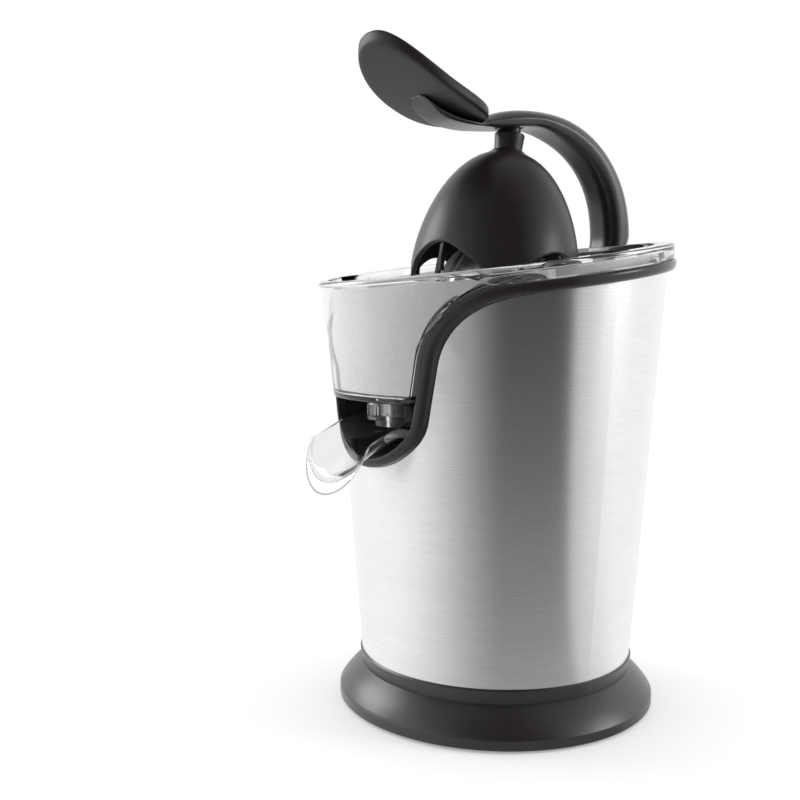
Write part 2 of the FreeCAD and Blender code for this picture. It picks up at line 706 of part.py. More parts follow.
def juice_bowl():
    low = BOWL_LOW_Z
    plate_low = RIM_TOP_Z - RIM_PLATE_T
    outer = cup(0, low, BOWL_BACK_Y).cut(above(plate_low))
    plate = rim_disc(RIM_R, plate_low, RIM_TOP_Z)
    skirt = rim_disc(RIM_R, RIM_TOP_Z - RIM_H, plate_low).cut(rim_disc(RIM_R - RIM_SKIRT_T, 200, plate_low))
    chimney = cyl(CHIMNEY_R, low, CHIMNEY_TOP_Z)
    stub = cyl(STUB_R, low - STUB_L, low + 1, 0, OUTLET_Y)
    ribs = [spun(box(CHIMNEY_R - 1, 58, -RIB_T / 2, RIB_T / 2, low + 1, low + BOWL_T + BASKET_LIFT), a)
            for a in around(6)]
    void = cup(BOWL_T, low + BOWL_T, BOWL_BACK_Y - BOWL_T)
    body = fuse([outer, plate, skirt]).cut(void)
    body = fuse([body, chimney, stub] + ribs)
    cuts = [cyl(CHIMNEY_BORE_R, 0, 300), cyl(OUTLET_R, 0, low + 10, 0, OUTLET_Y)]
    return body.cut(Part.makeCompound(cuts))


def outlet_collar():
    top = BOWL_LOW_Z - REST_GAP
    mid = top - COLLAR_H
    body = fuse([cyl(COLLAR_R, mid, top, 0, OUTLET_Y), cyl(NOZZLE_R, mid - NOZZLE_H, mid, 0, OUTLET_Y)])
    seat = cyl(STUB_R + FIT_GAP, top - STUB_L, top, 0, OUTLET_Y)
    hole = cyl(OUTLET_R, mid - NOZZLE_H, top, 0, OUTLET_Y)
    groove = ring(COLLAR_R - 2.5, STUB_R + 2.5, mid + 2.5, top, 0, OUTLET_Y)
    notches = []
    for a in around(NOTCHES):
        notch = box(COLLAR_R - NOTCH_D, COLLAR_R + 1, -NOTCH_W / 2, NOTCH_W / 2, mid + 2, top - 2)
        notch = spun(notch, a)
        notch.translate(V(0, OUTLET_Y, 0))
        notches.append(notch)
    return body.cut(Part.makeCompound([seat, hole, groove] + notches))


def strainer():
    floor = BOWL_LOW_Z + BOWL_T + BASKET_LIFT + REST_GAP
    outer_in = BOWL_T + BASKET_GAP
    back = BOWL_BACK_Y - outer_in
    outer = cup(outer_in, floor, back)
    void = cup(outer_in + BASKET_T, floor + BASKET_T, back - BASKET_T)
    collar = cyl(BASKET_COLLAR_R, floor, floor + BASKET_COLLAR_H)
    body = fuse([outer.cut(void), collar]).cut(above(BASKET_TOP_Z))
    cuts = [cyl(BASKET_COLLAR_R - BASKET_T, 0, 300)]
    for (radius, length), count in zip(SLOT_ROWS, SLOT_COUNTS):
        slot = box(radius, radius + length, -SLOT_W / 2, SLOT_W / 2, floor, floor + BASKET_T)
        cuts += [spun(slot, a) for a in around(count)]
    return body.cut(Part.makeCompound(cuts))


def ogive(radius, low, high):
    curve = Part.BSplineCurve()
    rise = high - low
    curve.interpolate([V(radius * r, 0, low + rise * h) for r, h in REAMER_PROFILE])
    edges = [curve.toShape(), Part.makeLine(V(0, 0, high), V(0, 0, low)), Part.makeLine(V(0, 0, low), V(radius, 0, low))]
    return Part.Face(Part.Wire(edges)).revolve(ORIGIN, UP, 360)


def reamer():
    core = ogive(REAMER_R - REAMER_RIB_H, REAMER_LOW_Z, REAMER_TOP_Z - 2)
    envelope = ogive(REAMER_R, REAMER_LOW_Z, REAMER_TOP_Z)
    fin = box(2, REAMER_R, -REAMER_RIB_T / 2, REAMER_RIB_T / 2, REAMER_LOW_Z, REAMER_TOP_Z)
    fins = [spun(fin, a).common(envelope) for a in around(REAMER_RIBS)]
    void = ogive(REAMER_R - REAMER_RIB_H - REAMER_T, REAMER_LOW_Z - 0.01, REAMER_TOP_Z - 5)
    skirt = ring(REAMER_R, REAMER_R - REAMER_RIB_H - REAMER_T, REAMER_LOW_Z, REAMER_LOW_Z + 2)
    hub = cyl(HUB_R, HUB_LOW_Z, REAMER_TOP_Z - REAMER_RIB_H - REAMER_T)
    hub = hub.cut(cyl(HUB_R, REAMER_LOW_Z, REAMER_TOP_Z).cut(envelope))
    body = fuse([fuse([core, skirt] + fins).cut(void), hub])
    socket = hexagon(HEX_AF + 2 * HEX_GAP, HUB_LOW_Z, SHAFT_TOP_Z + REST_GAP)
    return body.cut(socket)


# ---------------------------------------------------------------- spout pieces
def trough(wall, stretch):
    """Loft of half-ellipse sections from under the outlet to the flared lip."""
    stations = [((ty - wall, tz), (by - wall, bz), half) if i == 0 else ((ty, tz), (by, bz), half)
                for i, ((ty, tz), (by, bz), half) in enumerate(SPOUT_STATIONS)]
    if stretch:
        (ty, tz), (by, bz), half = stations[-1]
        stations.append(((ty - 0.8, tz - 0.4), (by + SPOUT_LIP_RUN.y, bz + SPOUT_LIP_RUN.z), half))
    wires = []
    for (ty, tz), (by, bz), half in stations:
        top = V(0, ty, tz)
        down = V(0, by, bz) - top
        depth = down.Length - wall
        down.normalize()
        lift = down * (-1.2 if wall else 0.0)
        a = top + V(half - wall, 0, 0)
        b = top - V(half - wall, 0, 0)
        points = []
        for i in range(9):
            t = math.pi * i / 8
            points.append(top + V((half - wall) * math.cos(t), 0, 0) + down * (depth * math.sin(t)))
        curve = Part.BSplineCurve()
        curve.interpolate(points)
        edges = [curve.toShape()]
        if wall:
            edges += [Part.makeLine(b, b + lift), Part.makeLine(b + lift, a + lift), Part.makeLine(a + lift, a)]
        else:
            edges += [Part.makeLine(b, top), Part.makeLine(top, a)]
        wires.append(Part.Wire(edges))
    return Part.makeLoft(wires, True, True)


def spout():
    body = trough(0.0, False)
    ears = [rod_x(EAR_R, min(s * EAR_IN_X, s * EAR_OUT_X), max(s * EAR_IN_X, s * EAR_OUT_X), PIVOT_Y, PIVOT_Z)
            for s in (-1, 1)]
    body = fuse([body] + ears)
    hole = rod_x(PIN_R + RUN_GAP, -50, 50, PIVOT_Y, PIVOT_Z)
    return body.cut(trough(SPOUT_T, True)).cut(hole)


def spout_pad():
    return cyl(PAD_R, PAD_LOW_Z - 1, PAD_LOW_Z + PAD_T, 0, OUTLET_Y).cut(spout())


# ---------------------------------------------------------------- lever pieces
def hinge_housing():
    low = SHELF_Z + SHELF_T
    top = RIM_TOP_Z - 0.6
    slot = ARM_HALF_W + CHEEK_GAP
    disc = cyl(RIM_R - 0.8, 200, 320, 0, RIM_CENTRE_Y)
    island = disc.common(above(STEEL_TOP_Z + TRIM_H + REST_GAP)).common(below(top))
    island = island.common(box(-150, 150, BOWL_BACK_Y + REST_GAP, 150, 0, 400))
    inner = -SHELL_T - REST_GAP - HOUSING_T - REST_GAP
    tub = body_cone(inner, low, 275).common(box(-40, 40, BOWL_BACK_Y + REST_GAP, 150, low, 400)).common(below(top - 2))
    base_t = 4.0
    body = fuse([island, tub])
    channel = box(-slot, slot, 60, 150, low + base_t, 400)
    body = body.cut(channel)
    cuts = [rod_x(HINGE_PIN_R + RUN_GAP, -slot - CHEEK_T, slot + CHEEK_T, HINGE_Y, HINGE_Z)]
    for s in (-1, 1):
        cuts.append(cyl(BASE_SCREW_R + FIT_GAP, low - 1, low + 12, s * 28, 82))
    return body.cut(Part.makeCompound(cuts))


def hinge_pin():
    half = ARM_HALF_W + CHEEK_GAP + CHEEK_T - 0.3
    return rod_x(HINGE_PIN_R, -half, half, HINGE_Y, HINGE_Z)


def hinge_screws():
    low = SHELF_Z
    screws = []
    for s in (-1, 1):
        head = cyl(SCREW_HEAD_R, low - SCREW_HEAD_T, low, s * 28, 82)
        screws.append(fuse([head, cyl(BASE_SCREW_R, low, low + SHELF_T + 11, s * 28, 82)]))
    return Part.makeCompound(screws)


def arm_section(centre, outward):
    """Closed section: flat inner face, straight sides, crowned outer face."""
    def at(u, v):
        return centre + X_AXIS * u + outward * v

    w = ARM_HALF_W
    r = 4.0
    shoulder = ARM_SIDE
    k = r * (1 - math.sqrt(0.5))
    edges = [
        Part.makeLine(at(-w + r, -ARM_INNER), at(w - r, -ARM_INNER)),
        arc(at(w - r, -ARM_INNER), at(w - k, -ARM_INNER + k), at(w, -ARM_INNER + r)),
        Part.makeLine(at(w, -ARM_INNER + r), at(w, shoulder)),
        arc(at(w, shoulder), at(0, ARM_CROWN), at(-w, shoulder)),
        Part.makeLine(at(-w, shoulder), at(-w, -ARM_INNER + r)),
        arc(at(-w, -ARM_INNER + r), at(-w + k, -ARM_INNER + k), at(-w + r, -ARM_INNER)),
    ]
    return Part.Wire(edges)


def arm_trim():
    """Side view prism of everything outside the arm's inner curve."""
    curve = Part.BSplineCurve()
    curve.interpolate([V(-50, y, z) for y, z in ARM_UNDER])
    (y0, z0), (y1, z1) = ARM_UNDER[0], ARM_UNDER[-1]
    corners = [V(-50, y1, z1), V(-50, -80, z1), V(-50, -80, 400), V(-50, 150, 400), V(-50, 150, z0), V(-50, y0, z0)]
    edges = [curve.toShape()] + [Part.makeLine(p, q) for p, q in zip(corners[:-1], corners[1:])]
    return Part.Face(Part.Wire(edges)).extrude(V(100, 0, 0))


def paddle_cylinder(radius):
    return Part.makeCylinder(radius, 100, V(-50, PADDLE_LOW_Y, PADDLE_LOW_Z + PADDLE_ARC_R), X_AXIS)


def lever_arm():
    bend_z = ARM_TOP_Z - ARM_BEND_R
    bend_y = ARM_PATH_Y - ARM_BEND_R
    start = V(0, ARM_PATH_Y, HINGE_Z + ARM_START_RISE)
    a = V(0, ARM_PATH_Y, bend_z)
    half = math.sqrt(0.5) * ARM_BEND_R
    mid = V(0, bend_y + half, bend_z + half)
    b = V(0, bend_y, ARM_TOP_Z)
    nose = Part.BSplineCurve()
    nose.interpolate([b] + [V(0, y, z) for y, z in ARM_FRONT], InitialTangent=V(0, -1, 0), FinalTangent=V(0, -1, -0.35))
    path = Part.Wire([Part.makeLine(start, a), arc(a, mid, b), nose.toShape()])
    hoop = path.makePipeShell([arm_section(start, Y_AXIS)], True, False, 2).common(arm_trim())
    barrel = rod_x(KNUCKLE_R, -ARM_HALF_W, ARM_HALF_W, HINGE_Y, HINGE_Z)
    link = box(-ARM_HALF_W, ARM_HALF_W, HINGE_Y - 6, HINGE_Y + KNUCKLE_R, HINGE_Z, HINGE_Z + ARM_START_RISE + 1)
    wire = Part.makePolygon([V(-RIB_HALF_W, y, z) for y, z in RIB_OUTLINE + RIB_OUTLINE[:1]])
    rib = Part.Face(wire).extrude(V(2 * RIB_HALF_W, 0, 0))
    seat = paddle_cylinder(PADDLE_ARC_R + FIT_GAP)
    rib = rib.cut(seat.common(box(-60, 60, -120, PADDLE_BACK_Y + 1, 300, 420)))
    body = fuse([hoop, barrel, link, rib])
    cuts = [rod_x(HINGE_PIN_R + RUN_GAP, -50, 50, HINGE_Y, HINGE_Z)]
    socket = cyl(TONGUE_R + 1.4, 0, TONGUE_L + 3.5)
    socket.rotate(ORIGIN, X_AXIS, -math.degrees(DOME_LEAN))
    socket.translate(dome_point(NECK_TOP - 2))
    cuts.append(socket)
    mouth = cyl(NECK_R + NECK_MOUTH_GAP, 0, NECK_MOUTH_H)
    mouth.rotate(ORIGIN, X_AXIS, -math.degrees(DOME_LEAN))
    mouth.translate(dome_point(NECK_TOP - 2))
    cuts.append(mouth)
    pivot = dome_point(SWIVEL_UP)
    cuts.append(rod_x(SWIVEL_PIN_R + RUN_GAP, -9, 9, pivot.y, pivot.z))
    cuts += peg_holes()
    return body.cut(Part.makeCompound(cuts))


def palm_paddle():
    slab = paddle_cylinder(PADDLE_ARC_R).cut(paddle_cylinder(PADDLE_ARC_R - PADDLE_T))
    points = [(0, PADDLE_TIP_Y), (13.5, PADDLE_TIP_Y + 2.8), (22.5, PADDLE_TIP_Y + 10), (28, PADDLE_TIP_Y + 22),
              (PADDLE_HALF_W, PADDLE_TIP_Y + 33), (27.6, PADDLE_BACK_Y - 22), (20.5, PADDLE_BACK_Y - 9),
              (10, PADDLE_BACK_Y - 1.8), (0, PADDLE_BACK_Y)]
    ring_points = points + [(-x, y) for x, y in points[-2:0:-1]]
    curve = Part.BSplineCurve()
    curve.interpolate([V(x, y, 320) for x, y in ring_points], PeriodicFlag=True)
    prism = Part.Face(Part.Wire(curve.toShape())).extrude(V(0, 0, 80))
    slab = slab.common(prism)
    edges = [e for e in slab.Edges if e.Length > 60]
    slab = slab.makeChamfer(PADDLE_ROUND, edges)
    return slab.cut(Part.makeCompound(peg_holes()))


def peg_holes():
    return [cyl(PADDLE_PEG_R + RUN_GAP, z - FIT_GAP, z + PADDLE_PEG_L + FIT_GAP, 0, y) for y, z in PADDLE_PEGS]


def paddle_pegs():
    return Part.makeCompound([cyl(PADDLE_PEG_R, z, z + PADDLE_PEG_L, 0, y) for y, z in PADDLE_PEGS])


# ---------------------------------------------------------------- dome pieces
def dome_point(height):
    """Point on the dome's axis, this far above the dome's widest section."""
    return DOME_CENTRE + V(0, math.sin(DOME_LEAN), math.cos(DOME_LEAN)) * height


def leaned(shape):
    shape.rotate(ORIGIN, X_AXIS, -math.degrees(DOME_LEAN))
    shape.translate(DOME_CENTRE)
    return shape


def egg(radius, height, skirt):
    points = []
    for i in range(13):
        t = math.pi / 2 * i / 12
        points.append(V(radius * math.cos(t) * (1 - DOME_SHOULDER * math.sin(2 * t)), 0, height * math.sin(t)))
    curve = Part.BSplineCurve()
    curve.interpolate(points, InitialTangent=V(0, 0, 1), FinalTangent=V(-1, 0, 0))
    low = V(radius - 0.6, 0, -skirt)
    edges = [Part.makeLine(low, points[0]), curve.toShape(), Part.makeLine(points[-1], V(0, 0, -skirt)),
             Part.makeLine(V(0, 0, -skirt), low)]
    return Part.Face(Part.Wire(edges)).revolve(ORIGIN, UP, 360)


def arch_prism():
    """Bell outline swept right through the dome, open below."""
    half = [V(-80, u, v) for u, v in ARCH_OUTLINE]
    curve = Part.BSplineCurve()
    curve.interpolate([V(p.x, -p.y, p.z) for p in half[:0:-1]] + half)
    a = half[-1]
    b = V(a.x, -a.y, a.z)
    low_a = V(a.x, a.y, a.z - 10)
    low_b = V(b.x, b.y, b.z - 10)
    edges = [curve.toShape(), Part.makeLine(a, low_a), Part.makeLine(low_a, low_b), Part.makeLine(low_b, b)]
    return Part.Face(Part.Wire(edges)).extrude(V(160, 0, 0))


def press_dome():
    shell = egg(DOME_R, DOME_H, DOME_SKIRT)
    void = egg(DOME_R - DOME_T, DOME_H - DOME_T, DOME_SKIRT + 0.01)
    core = egg(DOME_R - DOME_T - FIN_DEPTH, DOME_H - DOME_T - FIN_DEPTH - 2, DOME_SKIRT + 1)
    fin = box(5, DOME_R, -FIN_T / 2, FIN_T / 2, 2, DOME_H)
    inner = egg(DOME_R - DOME_T / 2, DOME_H - DOME_T / 2, DOME_SKIRT)
    fins = [spun(fin, a).common(inner) for a in around(DOME_FINS, 22.5)]
    body = fuse([shell.cut(void)] + [f.cut(core) for f in fins])
    arches = [spun(arch_prism(), ARCH_TURN + a) for a in (0, 90)]
    body = body.cut(Part.makeCompound(arches))
    body = body.cut(cyl(NECK_R - 2.5 + FIT_GAP, DOME_H - 8, DOME_H + 8))
    return leaned(body)


def dome_neck():
    seat = egg(DOME_R + FIT_GAP, DOME_H + FIT_GAP, DOME_SKIRT)
    collar = cyl(NECK_R, DOME_H - 2, NECK_TOP).cut(seat)
    spigot = cyl(NECK_R - 2.5, DOME_H - 7.5, NECK_TOP)
    tongue = cyl(TONGUE_R, NECK_TOP, NECK_TOP + TONGUE_L)
    body = fuse([collar, spigot, tongue])
    hole = Part.makeCylinder(SWIVEL_PIN_R + RUN_GAP, 40, V(-20, 0, SWIVEL_UP), X_AXIS)
    return leaned(body.cut(hole))


def swivel_pin():
    pivot = dome_point(SWIVEL_UP)
    return rod_x(SWIVEL_PIN_R, -8.8, 8.8, pivot.y, pivot.z)


PIECES = {
    "base_ring": base_ring, "bottom_plate": bottom_plate, "rubber_feet": rubber_feet, "base_screws": base_screws,
    "cord_gland": cord_gland, "body_shell": body_shell, "trim_band": trim_band, "inner_housing": inner_housing,
    "upper_bush": upper_bush, "shaft_seal": shaft_seal, "spout_pins": spout_pins,
    "gearbox_tray": gearbox_tray, "gearbox_lid": gearbox_lid, "gearbox_screws": gearbox_screws,
    "spring_bridge": spring_bridge, "return_spring": return_spring, "compound_gear": compound_gear,
    "compound_axle": compound_axle, "output_gear": output_gear, "drive_shaft": drive_shaft,
    "thrust_plate": thrust_plate, "micro_switch": micro_switch, "switch_button": switch_button,
    "motor_can": motor_can, "motor_upper_bell": motor_upper_bell, "motor_lower_bell": motor_lower_bell,
    "stator_coils": stator_coils, "motor_rotor": motor_rotor, "motor_pinion": motor_pinion,
    "juice_bowl": juice_bowl, "outlet_collar": outlet_collar, "strainer": strainer, "reamer": reamer,
    "spout": spout, "spout_pad": spout_pad,
    "hinge_housing": hinge_housing, "hinge_pin": hinge_pin, "hinge_screws": hinge_screws,
    "lever_arm": lever_arm, "palm_paddle": palm_paddle, "paddle_pegs": paddle_pegs,
    "press_dome": press_dome, "dome_neck": dome_neck, "swivel_pin": swivel_pin,
}


def main():
    os.makedirs("parts", exist_ok=True)
    for name, make in PIECES.items():
        write(name, make())


main()
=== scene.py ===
"""Looks of a lever citrus press: clear bowl and spout, brushed shell, black mouldings."""

from functools import cache
from math import asin, atan2, copysign, cos, exp, pi, radians, sin, sqrt

import bmesh
import bpy
from mathutils import Matrix, Vector


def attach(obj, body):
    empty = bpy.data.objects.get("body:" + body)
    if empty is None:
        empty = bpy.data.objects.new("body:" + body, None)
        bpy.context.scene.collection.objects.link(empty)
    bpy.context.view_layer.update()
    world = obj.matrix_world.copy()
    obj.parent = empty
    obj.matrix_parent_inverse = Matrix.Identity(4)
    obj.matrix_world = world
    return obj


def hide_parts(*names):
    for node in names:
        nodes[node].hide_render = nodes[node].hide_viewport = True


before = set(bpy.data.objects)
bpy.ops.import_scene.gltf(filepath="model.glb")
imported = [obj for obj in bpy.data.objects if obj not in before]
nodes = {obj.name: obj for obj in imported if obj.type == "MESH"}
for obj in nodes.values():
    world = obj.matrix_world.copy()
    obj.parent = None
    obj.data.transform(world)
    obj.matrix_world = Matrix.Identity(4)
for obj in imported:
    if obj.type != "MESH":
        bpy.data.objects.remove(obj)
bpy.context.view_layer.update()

# ---- studio settings
CAMERA_AT = (0.44648, -0.37464, 0.21809)
CAMERA_LOOK = (-0.8218, 0.5641, -0.0796)
CAMERA_UP = (-0.0667, 0.0435, 0.9968)
CAMERA_LENS = 44.827
FLOOR_Z = -0.001
FLOOR_HALF = 6.0
FRONT_AZIMUTH = radians(-40)                   # middle of the dim side of the studio, seen from above
DIM_LEFT = (radians(-75), radians(10))    # the dim front fades in over these turns
DIM_RIGHT, DIM_EDGE = radians(50), 0.06        # and ends here, over a crisp edge
SIDE_LOW, SIDE_RUN = 0.52, 0.75     # brightness next to that edge, and the turn over which it rises to 1
DIM_FAR, DIM_NEAR = 0.055, 0.42     # brightness of the dim front far off, and what is added close by
DIM_REACH = 0.50                    # metres over which the part close by fades
CEILING_CLIMB, CEILING_LEVEL = (0.45, 0.85), 0.35   # steepness at which the ceiling darkens, and to what
FLOOR_WHITE = (0.10, 0.30, 0.35, 1.0)   # metres out over which the floor turns white, and how white
SOFT_LIGHT = 0.92                   # plain light from the open sky


# ---- shader helpers
def feed(tree, made, inputs):
    """Fills a node's inputs: a socket is linked, anything else becomes the value."""
    for name, value in inputs.items():
        if isinstance(value, bpy.types.NodeSocket):
            tree.links.new(value, made.inputs[name])
        else:
            made.inputs[name].default_value = value


def node(tree, kind, inputs, **settings):
    made = tree.nodes.new("ShaderNode" + kind)
    for name, value in settings.items():
        setattr(made, name, value)
    feed(tree, made, inputs)
    return made


def math_node(tree, operation, a, b=0.0, clamp=False):
    return node(tree, "Math", {0: a, 1: b}, operation=operation, use_clamp=clamp).outputs[0]


def times(tree, a, b):
    return math_node(tree, "MULTIPLY", a, b)


def ramp(tree, value, stops):
    made = node(tree, "ValToRGB", {"Fac": value})
    elements = made.color_ramp.elements
    while len(elements) < len(stops):
        elements.new(0.5)
    for element, (place, shade) in zip(elements, stops):
        element.position = place
        element.color = (shade, shade, shade, 1) if isinstance(shade, (int, float)) else (*shade, 1)
    return made.outputs["Color"]


def mix_color(tree, factor, a, b, blend="MIX"):
    a, b = ((*value, 1) if isinstance(value, tuple) else value for value in (a, b))
    return node(tree, "Mix", {0: factor, 6: a, 7: b}, data_type="RGBA", blend_type=blend).outputs[2]


def stretched(tree, value, start, end, low=0.0, high=1.0, smooth=False):
    """The value's run from start to end, stretched to run from low to high."""
    inputs = {"Value": value, "From Min": start, "From Max": end, "To Min": low, "To Max": high}
    kind = "SMOOTHSTEP" if smooth else "LINEAR"
    return node(tree, "MapRange", inputs, interpolation_type=kind).outputs[0]


def noise(tree, position, scale, detail, roughness=0.5):
    return node(tree, "TexNoise", {"Vector": position, "Scale": scale, "Detail": detail,
                                   "Roughness": roughness}).outputs["Fac"]


def scaled_noise(tree, position, stretch, detail):
    mapped = node(tree, "Mapping", {"Vector": position, "Scale": stretch}).outputs["Vector"]
    return noise(tree, mapped, 1.0, detail, 0.55)


def bumped(tree, height, strength, distance, **more):
    return node(tree, "Bump", {"Strength": strength, "Distance": distance, "Height": height,
                               **more}).outputs["Normal"]


def new_group(name, inputs, outputs):
    """A node group of numbers, save that an input given as None and an output called Normal are vectors."""
    group = bpy.data.node_groups.new(name, "ShaderNodeTree")

    def socket(label, way, is_vector):
        kind = "NodeSocketVector" if is_vector else "NodeSocketFloat"
        return group.interface.new_socket(label, in_out=way, socket_type=kind)

    for label, default in inputs.items():
        made = socket(label, "INPUT", default is None)
        if default is not None:
            made.default_value = default
    for label in outputs:
        socket(label, "OUTPUT", label == "Normal")
    return group, group.nodes.new("NodeGroupInput").outputs, group.nodes.new("NodeGroupOutput")


def use_group(tree, group, **inputs):
    spaced = {name.replace("_", " "): value for name, value in inputs.items()}
    return node(tree, "Group", spaced, node_tree=group).outputs


def build_mould_grain():
    """Fine spark-eroded texture of black mouldings, with slow waviness and a haze of handling."""
    inputs = {"Position": None, "Grain Scale": 900.0, "Grain Height": 0.2, "Haze Scale": 25.0}
    group, given, out = new_group("mould_grain", inputs, ("Normal", "Haze"))
    grain = noise(group, given["Position"], given["Grain Scale"], 2.0)
    wave = noise(group, given["Position"], 18.0, 1.0)
    fine = bumped(group, grain, given["Grain Height"], 0.0003)
    feed(group, out, {"Normal": bumped(group, wave, 0.12, 0.001, Normal=fine),
                      "Haze": noise(group, given["Position"], given["Haze Scale"], 4.0)})
    return group


def build_specks():
    """Sparse dust specks and short rubs: 1 where a speck lies."""
    inputs = {"Position": None, "Scale": 300.0, "Amount": 0.1}
    group, given, out = new_group("dust_specks", inputs, ("Specks",))
    cell = node(group, "TexVoronoi", {"Vector": given["Position"], "Scale": given["Scale"]})
    near = math_node(group, "LESS_THAN", cell.outputs["Distance"], given["Amount"])
    here = math_node(group, "GREATER_THAN", noise(group, given["Position"], 40.0, 2.0), 0.58)
    feed(group, out, {"Specks": times(group, near, here)})
    return group


def build_brush_lines():
    """Fine lines left by a belt running round the shell, broken up along their length."""
    group, given, out = new_group("brush_lines", {"Position": None, "Depth": 0.1}, ("Normal", "Lines"))
    fine = scaled_noise(group, given["Position"], (60, 60, 4200), 2.0)
    broad = scaled_noise(group, given["Position"], (22, 22, 1500), 2.0)
    lines = math_node(group, "ADD", times(group, fine, 0.7), times(group, broad, 0.3))
    feed(group, out, {"Normal": bumped(group, lines, given["Depth"], 0.0002), "Lines": lines})
    return group


def build_studio_shade():
    """How bright the studio is each way: bright sides, a dim front with one crisp edge, a dim ceiling."""
    inputs = {"Direction": None, "Dim": DIM_FAR}
    group, given, out = new_group("studio_shade", inputs, ("Brightness", "Open Sky"))
    parts = node(group, "SeparateXYZ", {"Vector": given["Direction"]}).outputs
    turn = math_node(group, "SUBTRACT", math_node(group, "ARCTAN2", parts["Y"], parts["X"]), FRONT_AZIMUTH)
    turn = node(group, "Math", {0: turn, 1: pi, 2: -pi}, operation="WRAP").outputs[0]
    left = stretched(group, turn, *DIM_LEFT, smooth=True)
    right = stretched(group, turn, DIM_RIGHT, DIM_RIGHT + DIM_EDGE, 1.0, 0.0)
    rise = stretched(group, turn, DIM_RIGHT, DIM_RIGHT + SIDE_RUN, SIDE_LOW, 1.0)
    bright = math_node(group, "MAXIMUM", rise, math_node(group, "LESS_THAN", turn, 0.0))
    level = stretched(group, times(group, left, right), 0.0, 1.0, bright, given["Dim"])
    length = node(group, "VectorMath", {0: given["Direction"]}, operation="LENGTH").outputs["Value"]
    climb = math_node(group, "DIVIDE", parts["Z"], length)
    ceiling = stretched(group, climb, *CEILING_CLIMB, 1.0, CEILING_LEVEL, smooth=True)
    feed(group, out, {"Brightness": times(group, level, ceiling), "Open Sky": level})
    return group


def build_parting_line():
    """1 on the thin seam that a mould's halves leave along a plane."""
    group, given, out = new_group("parting_line", {"Distance": 0.0, "Half Width": 0.00026}, ("Line",))
    off = math_node(group, "DIVIDE", math_node(group, "ABSOLUTE", given["Distance"]), given["Half Width"])
    feed(group, out, {"Line": math_node(group, "SUBTRACT", 1.0, off, clamp=True)})
    return group


GRAIN = build_mould_grain()
SPECKS = build_specks()
BRUSH = build_brush_lines()
STUDIO = build_studio_shade()
SEAM = build_parting_line()
finishes = {}


def material(name):
    """A new material, kept by its name: gives its nodes, its shader and the place on the piece."""
    made = finishes[name] = bpy.data.materials.new(name)
    made.use_nodes = True
    tree = made.node_tree
    return tree, tree.nodes["Principled BSDF"], node(tree, "TexCoord", {}).outputs["Object"]


def seam_line(tree, position, normal, offset=0.0, **width):
    """1 along the plane with this normal, offset from the origin in metres."""
    across = node(tree, "VectorMath", {0: position, 1: normal}, operation="DOT_PRODUCT").outputs["Value"]
    return use_group(tree, SEAM, Distance=math_node(tree, "SUBTRACT", across, offset), **width)["Line"]


def black_moulding(name, tone, low_rough, high_rough, grain=0.2, specks=0.07, gloss=0.8, seam=None):
    """Black plastic with grain, haze and dust, and a parting seam across the direction given."""
    tree, shader, position = material(name)
    texture = use_group(tree, GRAIN, Position=position, Grain_Scale=1400.0, Grain_Height=grain,
                        Haze_Scale=30.0)
    dust = use_group(tree, SPECKS, Position=position, Scale=420.0, Amount=specks)["Specks"]
    lighter = tuple(min(1.0, c * 1.5 + 0.004) for c in tone)
    base = mix_color(tree, ramp(tree, texture["Haze"], [(0.35, 0.0), (0.75, 1.0)]), tone, lighter)
    base = mix_color(tree, times(tree, dust, 0.35), base, (0.22, 0.21, 0.21))
    if seam:
        line = times(tree, seam_line(tree, position, seam), 0.55)
        base = mix_color(tree, line, base, (0.002, 0.002, 0.002))
    rough = stretched(tree, texture["Haze"], 0.3, 0.7, low_rough, high_rough)
    feed(tree, shader, {"Base Color": base, "Roughness": rough, "Normal": texture["Normal"], "IOR": 1.48,
                        "Specular IOR Level": gloss})


def brushed_shell(name):
    tree, shader, position = material(name)
    brush = use_group(tree, BRUSH, Position=position, Depth=0.10)
    tone = ramp(tree, brush["Lines"], [(0.25, (0.80, 0.795, 0.79)), (0.75, (0.95, 0.948, 0.945))])
    mottle = ramp(tree, scaled_noise(tree, position, (14, 14, 40), 3.0), [(0.4, 0.0), (0.7, 0.05)])
    tangent = node(tree, "Tangent", {}, direction_type="RADIAL", axis="Z").outputs["Tangent"]
    feed(tree, shader, {"Base Color": mix_color(tree, mottle, tone, (0.5, 0.5, 0.5), "MULTIPLY"),
                        "Roughness": stretched(tree, brush["Lines"], 0.0, 1.0, 0.34, 0.20),
                        "Normal": brush["Normal"], "Tangent": tangent, "Metallic": 1.0, "Anisotropic": 0.75,
                        "Anisotropic Rotation": 0.25})


def satin_metal(name, dark, light, low_rough, high_rough, stretch=(300, 300, 300), depth=0.08,
                metallic=1.0):
    tree, shader, position = material(name)
    grain = scaled_noise(tree, position, stretch, 3.0)
    cloud = scaled_noise(tree, position, (30, 30, 30), 2.0)
    tone = ramp(tree, grain, [(0.3, dark), (0.7, light)])
    dull = ramp(tree, cloud, [(0.45, 0.0), (0.75, 0.12)])
    feed(tree, shader, {"Base Color": mix_color(tree, dull, tone, dark),
                        "Roughness": stretched(tree, cloud, 0.3, 0.7, low_rough, high_rough),
                        "Normal": bumped(tree, grain, depth, 0.0002), "Metallic": metallic})


